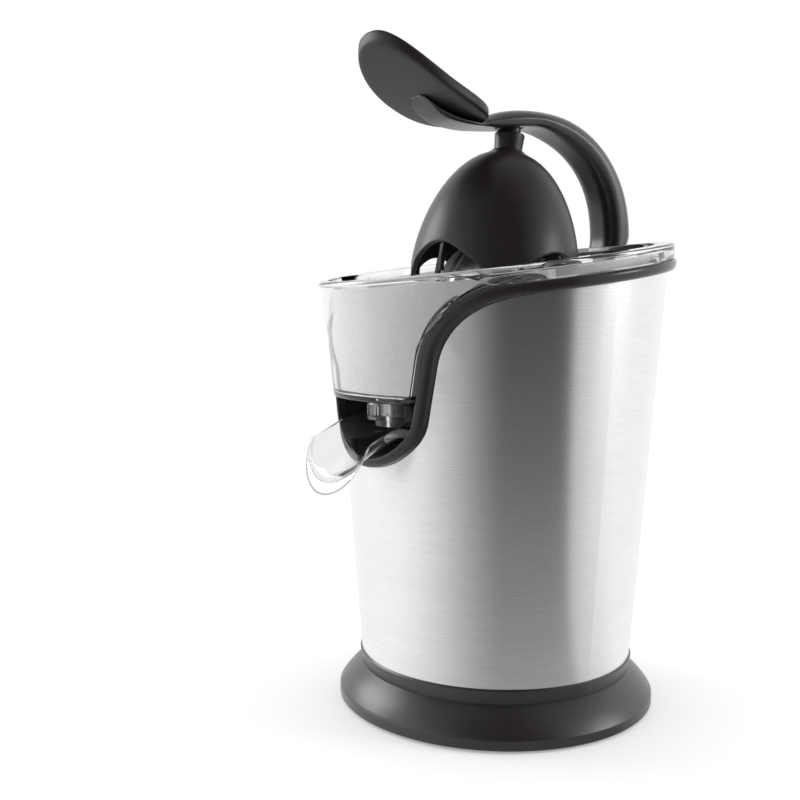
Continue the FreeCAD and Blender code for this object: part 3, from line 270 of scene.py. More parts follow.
def clear_plastic(name, tint, shadow_tint, ripple, frost=0.0, edge=None):
    """Clear moulding with a painted dark reflection line along an edge plane if given; light for shadows
    passes straight through.
    """
    tree, shader, position = material(name)
    haze = scaled_noise(tree, position, (25, 25, 25), 3.0)
    wave = scaled_noise(tree, position, (70, 70, 18), 1.0)
    tone = mix_color(tree, ramp(tree, haze, [(0.4, 0.0), (0.8, 0.25)]), tint, (0.88, 0.88, 0.89))
    # along the edge plane a darker grey line is painted in: a painted reflection of dark surroundings that
    # outlines the clear edge
    if edge:
        normal, offset, half_width = edge
        line = seam_line(tree, position, normal, offset, Half_Width=half_width)
        tone = mix_color(tree, line, tone, (0.42, 0.42, 0.43))
    feed(tree, shader, {"Base Color": tone, "Normal": bumped(tree, wave, ripple, 0.0006),
                        "Roughness": stretched(tree, haze, 0.4, 0.8, 0.015 + frost, 0.06 + frost),
                        "Transmission Weight": 1.0, "IOR": 1.42})
    through = node(tree, "BsdfTransparent", {"Color": (*shadow_tint, 1)}).outputs[0]
    shadow = node(tree, "LightPath", {}).outputs["Is Shadow Ray"]
    mixed = node(tree, "MixShader", {0: shadow, 1: shader.outputs[0], 2: through}).outputs[0]
    feed(tree, tree.nodes["Material Output"], {"Surface": mixed})


def plain_moulding(name, dark, light, rough_low, rough_high):
    tree, shader, position = material(name)
    texture = use_group(tree, GRAIN, Position=position, Grain_Height=0.15, Haze_Scale=60.0)
    feed(tree, shader, {"Base Color": ramp(tree, texture["Haze"], [(0.3, dark), (0.7, light)]),
                        "Roughness": stretched(tree, texture["Haze"], 0.0, 1.0, rough_low, rough_high),
                        "Normal": texture["Normal"]})


def wound_copper(name):
    tree, shader, position = material(name)
    wire = node(tree, "TexWave", {"Vector": position, "Scale": 420.0, "Distortion": 1.5, "Detail": 2.0},
                bands_direction="Z").outputs["Fac"]
    tone = ramp(tree, wire, [(0.2, (0.22, 0.07, 0.03)), (0.8, (0.72, 0.33, 0.15))])
    feed(tree, shader, {"Base Color": tone, "Normal": bumped(tree, wire, 0.5, 0.0004), "Metallic": 0.8,
                        "Roughness": 0.35})


WARM_BLACK = (0.0135, 0.0098, 0.0106)
ACROSS = (1.0, 0.0, 0.0)                # seams of the lever and the paddle
DOME_SEAM = (0.990, 0.139, 0.0)
# painted dark reflection line along the spout's lip, standing in for dark surroundings reflected at that
# edge
SPOUT_LIP_PAINTED_REFLECTION = ((0.0, -0.920, 0.392), 0.15881, 0.0009)     # normal of the lip's plane, offset, half width

black_moulding("housing_black", WARM_BLACK, 0.28, 0.36, gloss=1.0)
black_moulding("dome_black", (0.0125, 0.0090, 0.0097), 0.32, 0.38, 0.12, 0.03, gloss=0.5, seam=DOME_SEAM)
black_moulding("lever_black", WARM_BLACK, 0.24, 0.30, 0.08, 0.03, gloss=0.7, seam=ACROSS)
black_moulding("paddle_black", (0.0145, 0.0108, 0.0116), 0.36, 0.44, 0.12, 0.03, gloss=0.35, seam=ACROSS)
black_moulding("trim_black", (0.0165, 0.0128, 0.0135), 0.16, 0.22, 0.04, 0.02, gloss=0.5)
black_moulding("recess_black", (0.010, 0.0078, 0.0082), 0.35, 0.5, 0.15)
brushed_shell("brushed_shell")
clear_plastic("clear_bowl", (0.97, 0.97, 0.975), (0.88, 0.88, 0.88), 0.05)
clear_plastic("clear_spout", (0.90, 0.90, 0.905), (0.86, 0.86, 0.86), 0.10, edge=SPOUT_LIP_PAINTED_REFLECTION)
clear_plastic("clear_collar", (0.96, 0.96, 0.965), (0.88, 0.88, 0.88), 0.10, frost=0.14)
satin_metal("strainer_steel", (0.87, 0.865, 0.86), (0.94, 0.935, 0.93), 0.45, 0.52, depth=0.02,
            metallic=0.25)
satin_metal("reamer_steel", (0.72, 0.72, 0.72), (0.84, 0.84, 0.83), 0.36, 0.44)
satin_metal("plated_steel", (0.55, 0.55, 0.57), (0.72, 0.72, 0.74), 0.2, 0.3)
satin_metal("motor_steel", (0.28, 0.28, 0.29), (0.42, 0.42, 0.43), 0.4, 0.5)
satin_metal("rotor_steel", (0.20, 0.19, 0.18), (0.34, 0.32, 0.31), 0.45, 0.55, (20, 20, 1500))
satin_metal("bronze", (0.34, 0.20, 0.09), (0.52, 0.33, 0.16), 0.4, 0.5)
wound_copper("copper_winding")
plain_moulding("soft_rubber", 0.015, 0.03, 0.6, 0.75)
plain_moulding("pad_silicone", (0.66, 0.67, 0.70), (0.80, 0.81, 0.83), 0.35, 0.5)
plain_moulding("gear_plastic", (0.62, 0.60, 0.55), (0.74, 0.72, 0.67), 0.45, 0.6)
plain_moulding("gearbox_plastic", (0.10, 0.10, 0.105), (0.16, 0.16, 0.165), 0.45, 0.6)
plain_moulding("switch_plastic", 0.03, 0.05, 0.4, 0.55)

node_finish = {
    "housing_black": "base_ring bottom_plate hinge_housing cord_gland",
    "dome_black": "press_dome dome_neck",
    "lever_black": "lever_arm",
    "paddle_black": "palm_paddle",
    "trim_black": "trim_band",
    "recess_black": "inner_housing",
    "brushed_shell": "body_shell",
    "clear_bowl": "juice_bowl",
    "clear_spout": "spout",
    "clear_collar": "outlet_collar",
    "strainer_steel": "strainer",
    "reamer_steel": "reamer",
    "plated_steel": "base_screws spout_pins gearbox_screws spring_bridge return_spring compound_axle "
                    "drive_shaft hinge_pin hinge_screws paddle_pegs swivel_pin",
    "motor_steel": "motor_can motor_upper_bell motor_lower_bell",
    "rotor_steel": "motor_rotor",
    "bronze": "upper_bush motor_pinion",
    "copper_winding": "stator_coils",
    "soft_rubber": "rubber_feet shaft_seal",
    "pad_silicone": "spout_pad",
    "gear_plastic": "compound_gear output_gear thrust_plate",
    "gearbox_plastic": "gearbox_tray gearbox_lid",
    "switch_plastic": "micro_switch switch_button",
}
for finish, names in node_finish.items():
    for name in names.split():
        for slot in nodes[name].material_slots:
            slot.material = finishes[finish]


# ---- modelling helpers
MM = 0.001


def around(count):
    """A full circle's turns, evenly spaced."""
    return [2 * pi * i / count for i in range(count)]


def quarter(count=4):
    """A quarter circle's turns, evenly spaced, without its start."""
    return [pi / 2 * i / count for i in range(1, count + 1)]


def select_only(*pieces):
    bpy.ops.object.select_all(action="DESELECT")
    for piece in pieces:
        piece.select_set(True)
    if pieces:
        bpy.context.view_layer.objects.active = pieces[0]


def set_ring(piece, order, points):
    mesh = bmesh.from_edit_mesh(piece.data)
    mesh.verts.ensure_lookup_table()
    for index, point in zip(order, points):
        mesh.verts[index].co = Vector(point) * MM
    bmesh.update_edit_mesh(piece.data)


def next_ring(piece, order):
    """Extrudes the selected ring and returns the new points in the same order."""
    bpy.ops.mesh.extrude_edges_move()
    mesh = bmesh.from_edit_mesh(piece.data)
    mesh.verts.ensure_lookup_table()
    found = []
    for index in order:
        old = mesh.verts[index]
        ends = (edge.other_vert(old) for edge in old.link_edges)
        found.append(next(end.index for end in ends if end.select))
    return found


def drawn_out(name, rings, joined=False):
    """A circle extruded once per ring, each set to its section; the ends are filled, or joined up."""
    select_only()
    bpy.ops.mesh.primitive_circle_add(vertices=len(rings[0]), radius=1.0)
    piece = bpy.context.object
    piece.name = name
    bpy.ops.object.mode_set(mode="EDIT")
    bpy.ops.mesh.select_mode(type="VERT")
    bpy.ops.mesh.select_all(action="SELECT")
    order = list(range(len(rings[0])))
    set_ring(piece, order, rings[0])
    for ring in rings[1:] + (rings[:1] if joined else []):
        order = next_ring(piece, order)
        set_ring(piece, order, ring)
    bpy.ops.mesh.select_all(action="SELECT")
    bpy.ops.mesh.remove_doubles(threshold=2e-6)
    bpy.ops.mesh.fill_holes(sides=0)
    bpy.ops.mesh.select_all(action="SELECT")
    bpy.ops.mesh.normals_make_consistent(inside=False)
    bpy.ops.object.mode_set(mode="OBJECT")
    return piece


def cut_away(piece, tool):
    """Takes the tool's shape out of the piece and throws the tool away."""
    cut = piece.modifiers.new("cut", "BOOLEAN")
    cut.operation = "DIFFERENCE"
    cut.object = tool
    cut.solver = "EXACT"
    bpy.context.view_layer.objects.active = piece
    bpy.ops.object.modifier_apply(modifier=cut.name)
    bpy.data.objects.remove(tool)


def bored(piece, radius, start, end):
    """Cuts a round hole from start to end, both in millimetres."""
    start, end = Vector(start) * MM, Vector(end) * MM
    select_only()
    bpy.ops.mesh.primitive_cylinder_add(vertices=48, radius=radius * MM, depth=(end - start).length,
                                        location=(start + end) / 2,
                                        rotation=(end - start).to_track_quat("Z", "Y").to_euler())
    cut_away(piece, bpy.context.object)


def finish_piece(piece, degrees, body, finish, slot, *replaced):
    """Smooth shading up to an angle, then the piece's finish, its body and the nodes it stands for."""
    select_only(piece)
    bpy.ops.object.shade_smooth_by_angle(angle=radians(degrees))
    piece.data.materials.clear()
    piece.data.materials.append(finishes[finish])
    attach(piece, body)
    if replaced:
        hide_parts(*replaced)


# ---- trim band
CONE_R, CONE_Z, CONE_SLOPE = 78.3, 27.6, 0.0755     # shell radius at a height, and gain per mm of height
TILT = 0.14
TRIM_TOP_Z = 237.7
TRIM_W, TRIM_H, TRIM_PROUD, TRIM_IN = 5.2, 6.0, 4.6, 1.0
TRIM_CORNER_R = 1.9
TRIM_FRONT_RUNS, TRIM_TOP_RUNS = 64, 70     # divisions along the opening and along the top
JOIN_FRONT, JOIN_TOP, JOIN_PULL = 8, 6, 0.35    # points eased where these meet, and how far
OPEN_LOW_Z, OPEN_BOTTOM_R, OPEN_CORNER_R = 139.7, 48.0, 26.0
OPEN_SHOULDER_R, OPEN_SHOULDER_Z = 46.5, 195.5
OPEN_SPLIT, OPEN_SIDE, OPEN_END = radians(45), radians(78), radians(13.3)
HINGE_NOTCH = ((-13.0, 60.0, 251.4), (13.0, 120.0, 270.0))


def cone_radius(z):
    return CONE_R + (z - CONE_Z) * CONE_SLOPE


@cache
def opening_line(inset):
    """Half of the front opening's outline as (x, z), from its lowest point to its shoulder's end."""
    def on_arc(cx, cz, radius, angle):
        return cx + radius * sin(angle), cz - radius * cos(angle)

    def between(start, end, count):
        return [start + (end - start) * i / count for i in range(count)]

    per_part = 24
    low_z = OPEN_LOW_Z + OPEN_BOTTOM_R
    step = OPEN_BOTTOM_R - OPEN_CORNER_R
    corner = (step * sin(OPEN_SPLIT), low_z - step * cos(OPEN_SPLIT))
    side = on_arc(*corner, OPEN_CORNER_R, OPEN_SIDE)
    run = (OPEN_SHOULDER_Z - side[1]) / sin(OPEN_SIDE)
    shoulder = (side[0] + run * cos(OPEN_SIDE) + OPEN_SHOULDER_R * sin(OPEN_SIDE),
                OPEN_SHOULDER_Z - OPEN_SHOULDER_R * cos(OPEN_SIDE))
    line = [on_arc(0, low_z, OPEN_BOTTOM_R - inset, a) for a in between(0, OPEN_SPLIT, per_part)]
    line += [on_arc(*corner, OPEN_CORNER_R - inset, a) for a in between(OPEN_SPLIT, OPEN_SIDE, per_part)]
    turns = between(OPEN_SIDE, OPEN_END, 2 * per_part) + [OPEN_END]
    line += [on_arc(*shoulder, -(OPEN_SHOULDER_R + inset), a) for a in turns]
    return line


def on_front(x, z, proud):
    return Vector((x, -sqrt(max(0.0, (cone_radius(z) + proud) ** 2 - x * x)), z))


def on_top(angle, height, proud):
    """Point of the tilted top line at an angle from the front, out by proud from the shell."""
    rise = TILT * cos(angle)
    radius = (cone_radius(height) + proud) / (1 + rise * CONE_SLOPE)
    return Vector((radius * sin(angle), -radius * cos(angle), height - rise * radius))


def evenly(line, count):
    """The line divided into count equal runs."""
    lengths = [0.0]
    for a, b in zip(line, line[1:]):
        lengths.append(lengths[-1] + (b - a).length)
    points, place = [], 0
    for i in range(count + 1):
        target = lengths[-1] * i / count
        while place < len(line) - 2 and lengths[place + 1] < target:
            place += 1
        span = lengths[place + 1] - lengths[place]
        points.append(line[place].lerp(line[place + 1], (target - lengths[place]) / span))
    return points


def trim_edge(inset, height, proud):
    """One edge of the trim, from the front's lowest point over the shoulder to the back."""
    front = []
    for x, z in opening_line(inset):
        point = on_front(x, z, proud)
        if front and z > height + TILT * point.y:
            break
        front.append(point)
    start = atan2(front[-1].x, -front[-1].y)
    top = [on_top(start + (pi - start) * i / 90, height, proud) for i in range(91)]
    join = front[-JOIN_FRONT:] + top[:JOIN_TOP]
    eased = []
    for i, point in enumerate(join):
        part = i / (len(join) - 1)
        pulled = join[0].lerp(join[-1], part) * JOIN_PULL + point * (1 - JOIN_PULL)
        eased.append(point.lerp(pulled, sin(pi * i / (len(join) - 1))))
    line = front[:-JOIN_FRONT] + eased + top[JOIN_TOP:]
    low, high = line[:len(front)], line[len(front) - 1:]
    return evenly(low, TRIM_FRONT_RUNS)[:-1] + evenly(high, TRIM_TOP_RUNS)


def build_trim():
    levels = [-TRIM_IN, 0.5, 1.6, TRIM_PROUD - TRIM_CORNER_R]
    profile = [(0.0, v) for v in levels]
    profile += [(TRIM_CORNER_R * (1 - cos(t)), TRIM_PROUD - TRIM_CORNER_R * (1 - sin(t)))
                for t in quarter()]
    profile.append((TRIM_W / 2, TRIM_PROUD))
    profile += [(TRIM_W - u, v) for u, v in profile[-2::-1]]
    low_lines, high_lines = {}, {}
    for u, v in profile:
        if v not in low_lines:
            low_lines[v] = trim_edge(0.0, TRIM_TOP_Z, v)
            high_lines[v] = trim_edge(TRIM_W, TRIM_TOP_Z + TRIM_H, v)
    half = [[low_lines[v][i].lerp(high_lines[v][i], u / TRIM_W) for u, v in profile]
            for i in range(len(low_lines[-TRIM_IN]))]
    other = [[Vector((-p.x, p.y, p.z)) for p in ring] for ring in half[-2:0:-1]]
    band = drawn_out("trim_sweep", half + other, joined=True)
    low, high = (Vector(corner) * MM for corner in HINGE_NOTCH)
    select_only()
    bpy.ops.mesh.primitive_cube_add(size=1.0, location=(low + high) / 2, scale=high - low)
    cut_away(band, bpy.context.object)
    finish_piece(band, 50, "housing", "trim_black", "black_moulding", "trim_band")


# ---- juice bowl
BOWL_IN, WINDOW_OUT = 5.0, 5.8      # bowl inside the shell's face, and its front window outside it
WINDOW_GAP = 5.7                    # window inside the opening's outline
BOWL_LOW, BOWL_WALL, BOWL_BACK = 175.0, 2.5, 77.0
WINDOW_CORNER_R = 4.0
RIM_TOP, RIM_PLATE, RIM_DROP, RIM_WALL = 252.6, 3.0, 8.5, 2.2
RIM_R, RIM_CENTRE_Y = 100.6, -3.0
CHIMNEY_R, CHIMNEY_BORE_R, CHIMNEY_TOP = 12.5, 10.0, 209.0
OUTLET_Y, OUTLET_R, STUB_R, STUB_LOW = -67.0, 7.0, 9.2, 167.0
BACK_STEPS, SIDE_STEPS, STEP_STEPS, WINDOW_STEPS, FLARE_STEPS = 6, 44, 4, 40, 9
WALL_PARTS = [0.045, 0.09] + [0.14 + 0.86 * i / 26 for i in range(27)]      # heights of the wall's rings


def window_half_width(z, inset):
    """Half the width of the window at a height, from the opening's outline moved inwards."""
    line = opening_line(WINDOW_GAP + inset)
    corner = BOWL_LOW + inset + WINDOW_CORNER_R - z
    tuck = WINDOW_CORNER_R - sqrt(max(0.0, WINDOW_CORNER_R ** 2 - corner ** 2)) if corner > 0 else 0.0
    for (x0, z0), (x1, z1) in zip(line, line[1:]):
        if z1 >= z:
            return x0 + (x1 - x0) * max(0.0, z - z0) / (z1 - z0) - tuck
    return line[-1][0]


def bowl_half_ring(height_at, inset):
    """Plan of the bowl from the back's middle round the right side to the front's middle."""
    def settle(place, part):
        z = height_at(0.0)
        for _ in range(6):
            z = height_at(place(part, z)[1])
        return Vector((*place(part, z), z))

    def inner(z):
        return cone_radius(z) - BOWL_IN - inset

    def outer(z):
        return cone_radius(z) + WINDOW_OUT - inset

    def corner_x(z):
        return sqrt(max(1.0, inner(z) ** 2 - (BOWL_BACK - inset) ** 2))

    def back(part, z):
        return corner_x(z) * part, BOWL_BACK - inset

    def side(part, z):
        start = atan2(corner_x(z), BOWL_BACK - inset)
        end = pi - asin(min(0.999, window_half_width(z, inset) / inner(z)))
        turn = start + (end - start) * part
        return inner(z) * sin(turn), inner(z) * cos(turn)

    def step(part, z):
        x = min(window_half_width(z, inset), 0.999 * inner(z))
        near, far = sqrt(inner(z) ** 2 - x * x), sqrt(outer(z) ** 2 - x * x)
        return x, -(near + (far - near) * part)

    def window(part, z):
        edge = asin(min(window_half_width(z, inset), 0.999 * inner(z)) / outer(z))
        turn = edge * (1 - part)
        return outer(z) * sin(turn), -outer(z) * cos(turn)

    ring = []
    for place, steps in ((back, BACK_STEPS), (side, SIDE_STEPS), (step, STEP_STEPS),
                         (window, WINDOW_STEPS)):
        ring += [settle(place, i / steps) for i in range(steps)]
    return ring + [settle(window, 1.0)]


def mirrored_ring(half):
    return half + [Vector((-p.x, p.y, p.z)) for p in half[-2:0:-1]]


def bowl_ring(height_at, inset):
    return mirrored_ring(bowl_half_ring(height_at, inset))


def tilted(height):
    return lambda y: height + TILT * y


def level(height):
    return lambda y: height


def window_shares():
    """For half a ring: 0 round the back and the sides, rising to 1 over the window."""
    steps = [min(1.0, i / FLARE_STEPS) for i in range(WINDOW_STEPS + 1)]
    return [0.0] * (BACK_STEPS + SIDE_STEPS + STEP_STEPS) + [t * t * (3 - 2 * t) for t in steps]


def rim_ring(turns, radius, height, lift=0.0):
    """Ring of the rim's disc, cut off straight at the back, on the tilted plane and lifted at the front."""
    corner_x = sqrt(radius ** 2 - (BOWL_BACK - RIM_CENTRE_Y) ** 2)
    start = atan2(corner_x, BOWL_BACK - RIM_CENTRE_Y)
    half = [Vector((corner_x * i / BACK_STEPS, BOWL_BACK, 0)) for i in range(BACK_STEPS)]
    for part in turns:
        turn = start + (pi - start) * part
        half.append(Vector((radius * sin(turn), RIM_CENTRE_Y + radius * cos(turn), 0)))
    for point, share in zip(half, window_shares()):
        point.z = height + TILT * point.y + share * lift
    return mirrored_ring(half)


def drawn_to(ring, goals, amount=1.0):
    """The ring with its points over the window moved level towards the goals."""
    half = window_shares()
    for point, goal, share in zip(ring, goals, half + half[-2:0:-1]):
        point.x += (goal.x - point.x) * amount * share
        point.y += (goal.y - point.y) * amount * share
    return ring


def skirt_ring(turns, radius, height, tuck, front_height):
    """Rim ring that leaves the skirt out over the window, where it lies close under the rim's edge."""
    ring = rim_ring(turns, radius, height, front_height - height)
    return drawn_to(ring, rim_ring(turns, RIM_R - tuck, height))


def round_ring(turns, radius, z):
    """Ring round the drive's axis with the bowl's own number of points."""
    start = pi / 6
    half = [start * i / BACK_STEPS for i in range(BACK_STEPS)]
    half += [start + (pi - start) * part for part in turns]
    return mirrored_ring([Vector((radius * sin(t), radius * cos(t), z)) for t in half])


def wall_ring(inset, low, top, part):
    return bowl_ring(lambda y: low + (top + TILT * y - low) * part, inset)


def outer_rings(turns):
    """The bowl's outside, from the foot of its wall up, flaring into the rim's edge over the window."""
    under = RIM_TOP - RIM_PLATE
    foot = ((0, 2.0), (0.25, 1.0), (0.8, 0.3), (1.6, 0.03))
    rings = [bowl_ring(level(BOWL_LOW + z), inset) for z, inset in foot]
    rim = rim_ring(turns, RIM_R - 1.0, under)
    for part in WALL_PARTS:
        flare = max(0.0, (part - 0.30) / 0.70) ** 1.2
        rings.append(drawn_to(wall_ring(0.0, BOWL_LOW, under, part), rim, flare))
    return rings


def rim_rings(turns):
    """Down inside the skirt, round its lower edge and up to the rim's top."""
    outer, inner, under, bottom = RIM_R, RIM_R - RIM_WALL, RIM_TOP - RIM_PLATE, RIM_TOP - RIM_DROP
    # radius, height, how far inside the rim's edge it ends over the window, and how far over the underside
    skirt = ((inner - 0.8, under, 0.9, 0.0), (inner - 0.1, under - 0.6, 0.85, 0.0),
             (inner, under - 2.5, 0.8, 0.0), (inner, bottom + 0.6, 0.7, 0.02),
             (inner + 0.4, bottom + 0.1, 0.6, 0.04),
             (inner + RIM_WALL / 2, bottom, 0.5, 0.08), (outer - 0.4, bottom + 0.1, 0.4, 0.15),
             (outer, bottom + 0.6, 0.15, 0.4), (outer, bottom + 3, 0.0, 0.9))
    rings = [skirt_ring(turns, radius, height, tuck, under + lift) for radius, height, tuck, lift in skirt]
    edge = ((0.0, 1.9), (0.2, 1.1), (0.8, 0.35), (1.8, 0.0), (4.0, 0.0))
    return rings + [rim_ring(turns, outer - inset, RIM_TOP - drop) for inset, drop in edge]


def inner_rings(turns):
    """Down the inside of the wall, over the floor, and up and down the chimney round the drive."""
    floor, wall = BOWL_LOW + BOWL_WALL, BOWL_WALL
    rings = [bowl_ring(tilted(RIM_TOP), wall - 0.7), bowl_ring(tilted(RIM_TOP - 0.3), wall - 0.2)]
    rings += [wall_ring(wall, floor, RIM_TOP - 1.0, part) for part in reversed(WALL_PARTS)]
    rings += [bowl_ring(level(floor + z), wall + inset) for z, inset in ((1.2, 0.15), (0.4, 0.8), (0, 2.0))]
    radius, bore, top = CHIMNEY_R, CHIMNEY_BORE_R, CHIMNEY_TOP
    chimney = ((60, floor), (radius + 2, floor), (radius + 0.5, floor + 0.4), (radius, floor + 1.5),
               (radius, top - 0.5), (radius - 0.5, top), (bore + 0.5, top), (bore, top - 0.5),
               (bore, BOWL_LOW + 0.4), (bore + 0.4, BOWL_LOW), (60, BOWL_LOW))
    return rings + [round_ring(turns, r, z) for r, z in chimney]


def build_bowl():
    sample = bowl_half_ring(tilted(RIM_TOP - RIM_PLATE), 0.0)
    angles = [atan2(p.x, p.y) for p in sample[BACK_STEPS:]]
    turns = [(a - angles[0]) / (pi - angles[0]) for a in angles]
    rings = outer_rings(turns) + rim_rings(turns) + inner_rings(turns)
    bowl = drawn_out("clear_juice_bowl", rings, joined=True)
    bored(bowl, OUTLET_R, (0, OUTLET_Y, BOWL_LOW - 2), (0, OUTLET_Y, BOWL_LOW + BOWL_WALL + 2))
    finish_piece(bowl, 38, "bowl", "clear_bowl", "clear_plastic", "juice_bowl")
    profile = ((OUTLET_R, BOWL_LOW), (STUB_R, BOWL_LOW), (STUB_R, STUB_LOW + 0.5), (STUB_R - 0.5, STUB_LOW),
               (OUTLET_R, STUB_LOW))
    rings = [[(r * cos(a), OUTLET_Y + r * sin(a), z) for a in around(64)] for r, z in profile]
    stub = drawn_out("bowl_stub", rings, joined=True)
    finish_piece(stub, 38, "bowl", "clear_bowl", "clear_plastic")


# ---- spout
SPOUT_WALL = 2.0
SPOUT_STATIONS = (((-46.0, 169.0), (-46.0, 153.0), 25.0), ((-48.0, 169.4), (-48.2, 152.8), 25.35),
                  ((-66.0, 172.0), (-68.0, 151.0), 28.0), ((-84.0, 165.2), (-90.0, 148.6), 28.0),
                  ((-103.0, 156.0), (-112.5, 137.5), 28.0), ((-107.0, 154.0), (-118.2, 127.7), 29.3))
SPOUT_PIVOT = (-48.0, 163.0)
EAR_R, EAR_IN, EAR_OUT, EAR_HOLE_R = 5.0, 23.0, 30.6, 2.3


def spout_station(place):
    """Top edge, lowest line and half width at a place along the spout, 0 at the back to 5 at the lip."""
    rows = [(ty, tz, by, bz, half) for (ty, tz), (by, bz), half in SPOUT_STATIONS]
    first = min(int(place), len(rows) - 2)
    part = place - first
    before, a, b = rows[max(first - 1, 0)], rows[first], rows[first + 1]
    after = rows[min(first + 2, len(rows) - 1)]
    mixed = []
    for p0, p1, p2, p3 in zip(before, a, b, after):
        bend = (2 * p0 - 5 * p1 + 4 * p2 - p3) * part + (3 * p1 - p0 - 3 * p2 + p3) * part * part
        mixed.append(p1 + 0.5 * part * (p2 - p0 + bend))
    return mixed


def spout_section(place, wall=SPOUT_WALL, open_trough=True):
    """Half-round trough: the outside from side to side, then back along the inside."""
    ty, tz, by, bz, half = spout_station(place)
    top = Vector((0, ty, tz))
    down = Vector((0, by, bz)) - top
    depth = down.length
    down.normalize()
    turns = [pi * i / 40 for i in range(41)]

    def curve(width, deep):
        return [top + Vector((width * cos(t), 0, 0)) + down * deep * sin(t) for t in turns]

    return curve(half, depth) + curve(half - wall, (depth - wall) if open_trough else 0.0)[::-1]


def build_spout():
    rings = [spout_section(place, open_trough=False) for place in (0.0, 1.0)] + [spout_section(1.02)]
    rings += [spout_section(1.0 + 4.0 * i / 40) for i in range(1, 39)]
    rings += [spout_section(4.88, 1.9), spout_section(4.95, 1.5), spout_section(5.0, 0.7)]
    spout = drawn_out("clear_spout", rings)
    finish_piece(spout, 50, "spout_body", "clear_spout", "clear_plastic", "spout")
    y, z = SPOUT_PIVOT
    for side, name in ((-1, "left"), (1, "right")):
        profile = ((EAR_IN, EAR_R), (EAR_OUT - 0.5, EAR_R), (EAR_OUT, EAR_R - 0.5), (EAR_OUT, EAR_HOLE_R),
                   (EAR_IN, EAR_HOLE_R))
        rings = []
        for x, radius in profile:
            rings.append([(side * x, y + radius * cos(t), z + side * radius * sin(t)) for t in around(40)])
        ear = drawn_out("spout_ear_" + name, rings, joined=True)
        finish_piece(ear, 40, "spout_body", "clear_spout", "clear_plastic")


# ---- palm paddle
PADDLE_ARC_R = 109.4
PADDLE_LOW = (-10.2, 327.2)         # y, z of the lowest line of the underside
PADDLE_MIDDLE_Y = -52.8
PADDLE_HALF = (29.0, 35.8)
PADDLE_SQUARENESS = 2.4
# inset from the outline, height over the underside
PADDLE_PROFILE = ((28.9, 0.0), (24, 0.0), (18, 0.0), (11, 0.0), (6, 0.0), (3, 0.0), (1.7, 0.02),
                  (1.0, 0.12), (0.45, 0.4), (0.1, 0.9), (0.0, 1.5), (0.0, 3.4), (0.1, 4.6), (0.5, 5.4),
                  (1.2, 6.0), (2.2, 6.3), (4, 6.4), (8, 6.35), (14, 6.2), (20, 6.1), (26, 6.05),
                  (28.9, 6.05))


def paddle_underside(y):
    return PADDLE_LOW[1] + PADDLE_ARC_R - sqrt(PADDLE_ARC_R ** 2 - (y - PADDLE_LOW[0]) ** 2)


def power_curve(angle, exponent):
    """Point of a rounded square, 2 for a circle and squarer above."""
    c, s = cos(angle), sin(angle)
    return (copysign(abs(c) ** (2 / exponent), c), copysign(abs(s) ** (2 / exponent), s))


def build_paddle():
    rings = []
    for inset, height in PADDLE_PROFILE:
        ring = []
        for angle in around(96):
            u, v = power_curve(angle, PADDLE_SQUARENESS)
            x = u * (PADDLE_HALF[0] - inset)
            y = PADDLE_MIDDLE_Y + v * (PADDLE_HALF[1] - inset * PADDLE_HALF[1] / PADDLE_HALF[0])
            lean = (y - PADDLE_LOW[0]) / PADDLE_ARC_R
            ring.append((x, y, paddle_underside(y) + height / sqrt(1 - lean * lean)))
        rings.append(ring)
    paddle = drawn_out("palm_rest", rings)
    finish_piece(paddle, 50, "lever", "paddle_black", "black_moulding", "palm_paddle")


# ---- press dome
DOME_CENTRE = Vector((0, -2.4, 247.0))
DOME_LEAN = radians(7.8)
DOME_R, DOME_H, DOME_T = 48.2, 68.8, 3.0
DOME_SHOULDER, DOME_TUCK = 0.045, 0.6       # fullness of the egg shape, and how far its foot draws in
ARCH_TURN = radians(8)
ARCH_LOW, ARCH_RISE = -9.0, 17.0
SPIGOT_R = 5.95
# radius and depth under the dome's top of the rounding and the seat round the collar's spigot
COLLAR_SEAT = ((9.9, 0.95), (9.75, 0.45), (9.4, 0.1), (8.9, 0.0), (8.2, 0.0), (8.2, 1.4), (SPIGOT_R, 1.4))
# radius and height of the collar that stands on the dome, flared towards the arm, and of its tongue
COLLAR_PROFILE = ((5.0, 61.4), (5.7, 61.4), (5.85, 62.0), (5.85, 67.5), (8.05, 67.5), (8.05, 69.4),
                  (8.2, 72.0), (8.45, 75.5), (8.65, 78.0), (8.6, 78.5), (8.3, 78.8), (6.0, 78.8),
                  (6.0, 87.2), (5.4, 87.8), (4.5, 87.8))
SWIVEL_HEIGHT, SWIVEL_HOLE_R = 83.5, 1.55   # place of the swivel pin, up the dome's axis
FIN_HEIGHTS = (-7.5, -6, -3, 0, 6, 12, 20, 28, 36, 44, 50, 54)
FIN_COUNT, FIN_TURN = 8, 10.0
FRUIT_R, FRUIT_H = DOME_R - 8, DOME_H - 10      # half a fruit in the dome
FIN_GAP, FIN_MIDDLE_R, FIN_SUNK = 2.6, 6.5, 1.2     # clear of fruit and middle, and into the wall
FIN_HALF, FIN_EDGE_HALF, FIN_BEVEL = 1.0, 0.7, 0.4


def dome_at(height, across=0.0, side=0.0):
    """Point in the dome's leaning frame: side is +X, across is towards the back."""
    along = Vector((0, sin(DOME_LEAN), cos(DOME_LEAN)))
    back = Vector((0, cos(DOME_LEAN), -sin(DOME_LEAN)))
    return DOME_CENTRE + along * height + back * across + Vector((side, 0, 0))


def dome_rings(count, places):
    """Rings round the dome's axis; each place gives radius and height at an angle."""
    rings = []
    for place in places:
        ring = []
        for angle in around(count):
            radius, height = place(angle)
            ring.append(dome_at(height, radius * sin(angle), radius * cos(angle)))
        rings.append(ring)
    return rings


def bored_for_swivel(piece):
    pivot, reach = dome_at(SWIVEL_HEIGHT), Vector((9, 0, 0))
    bored(piece, SWIVEL_HOLE_R, pivot - reach, pivot + reach)


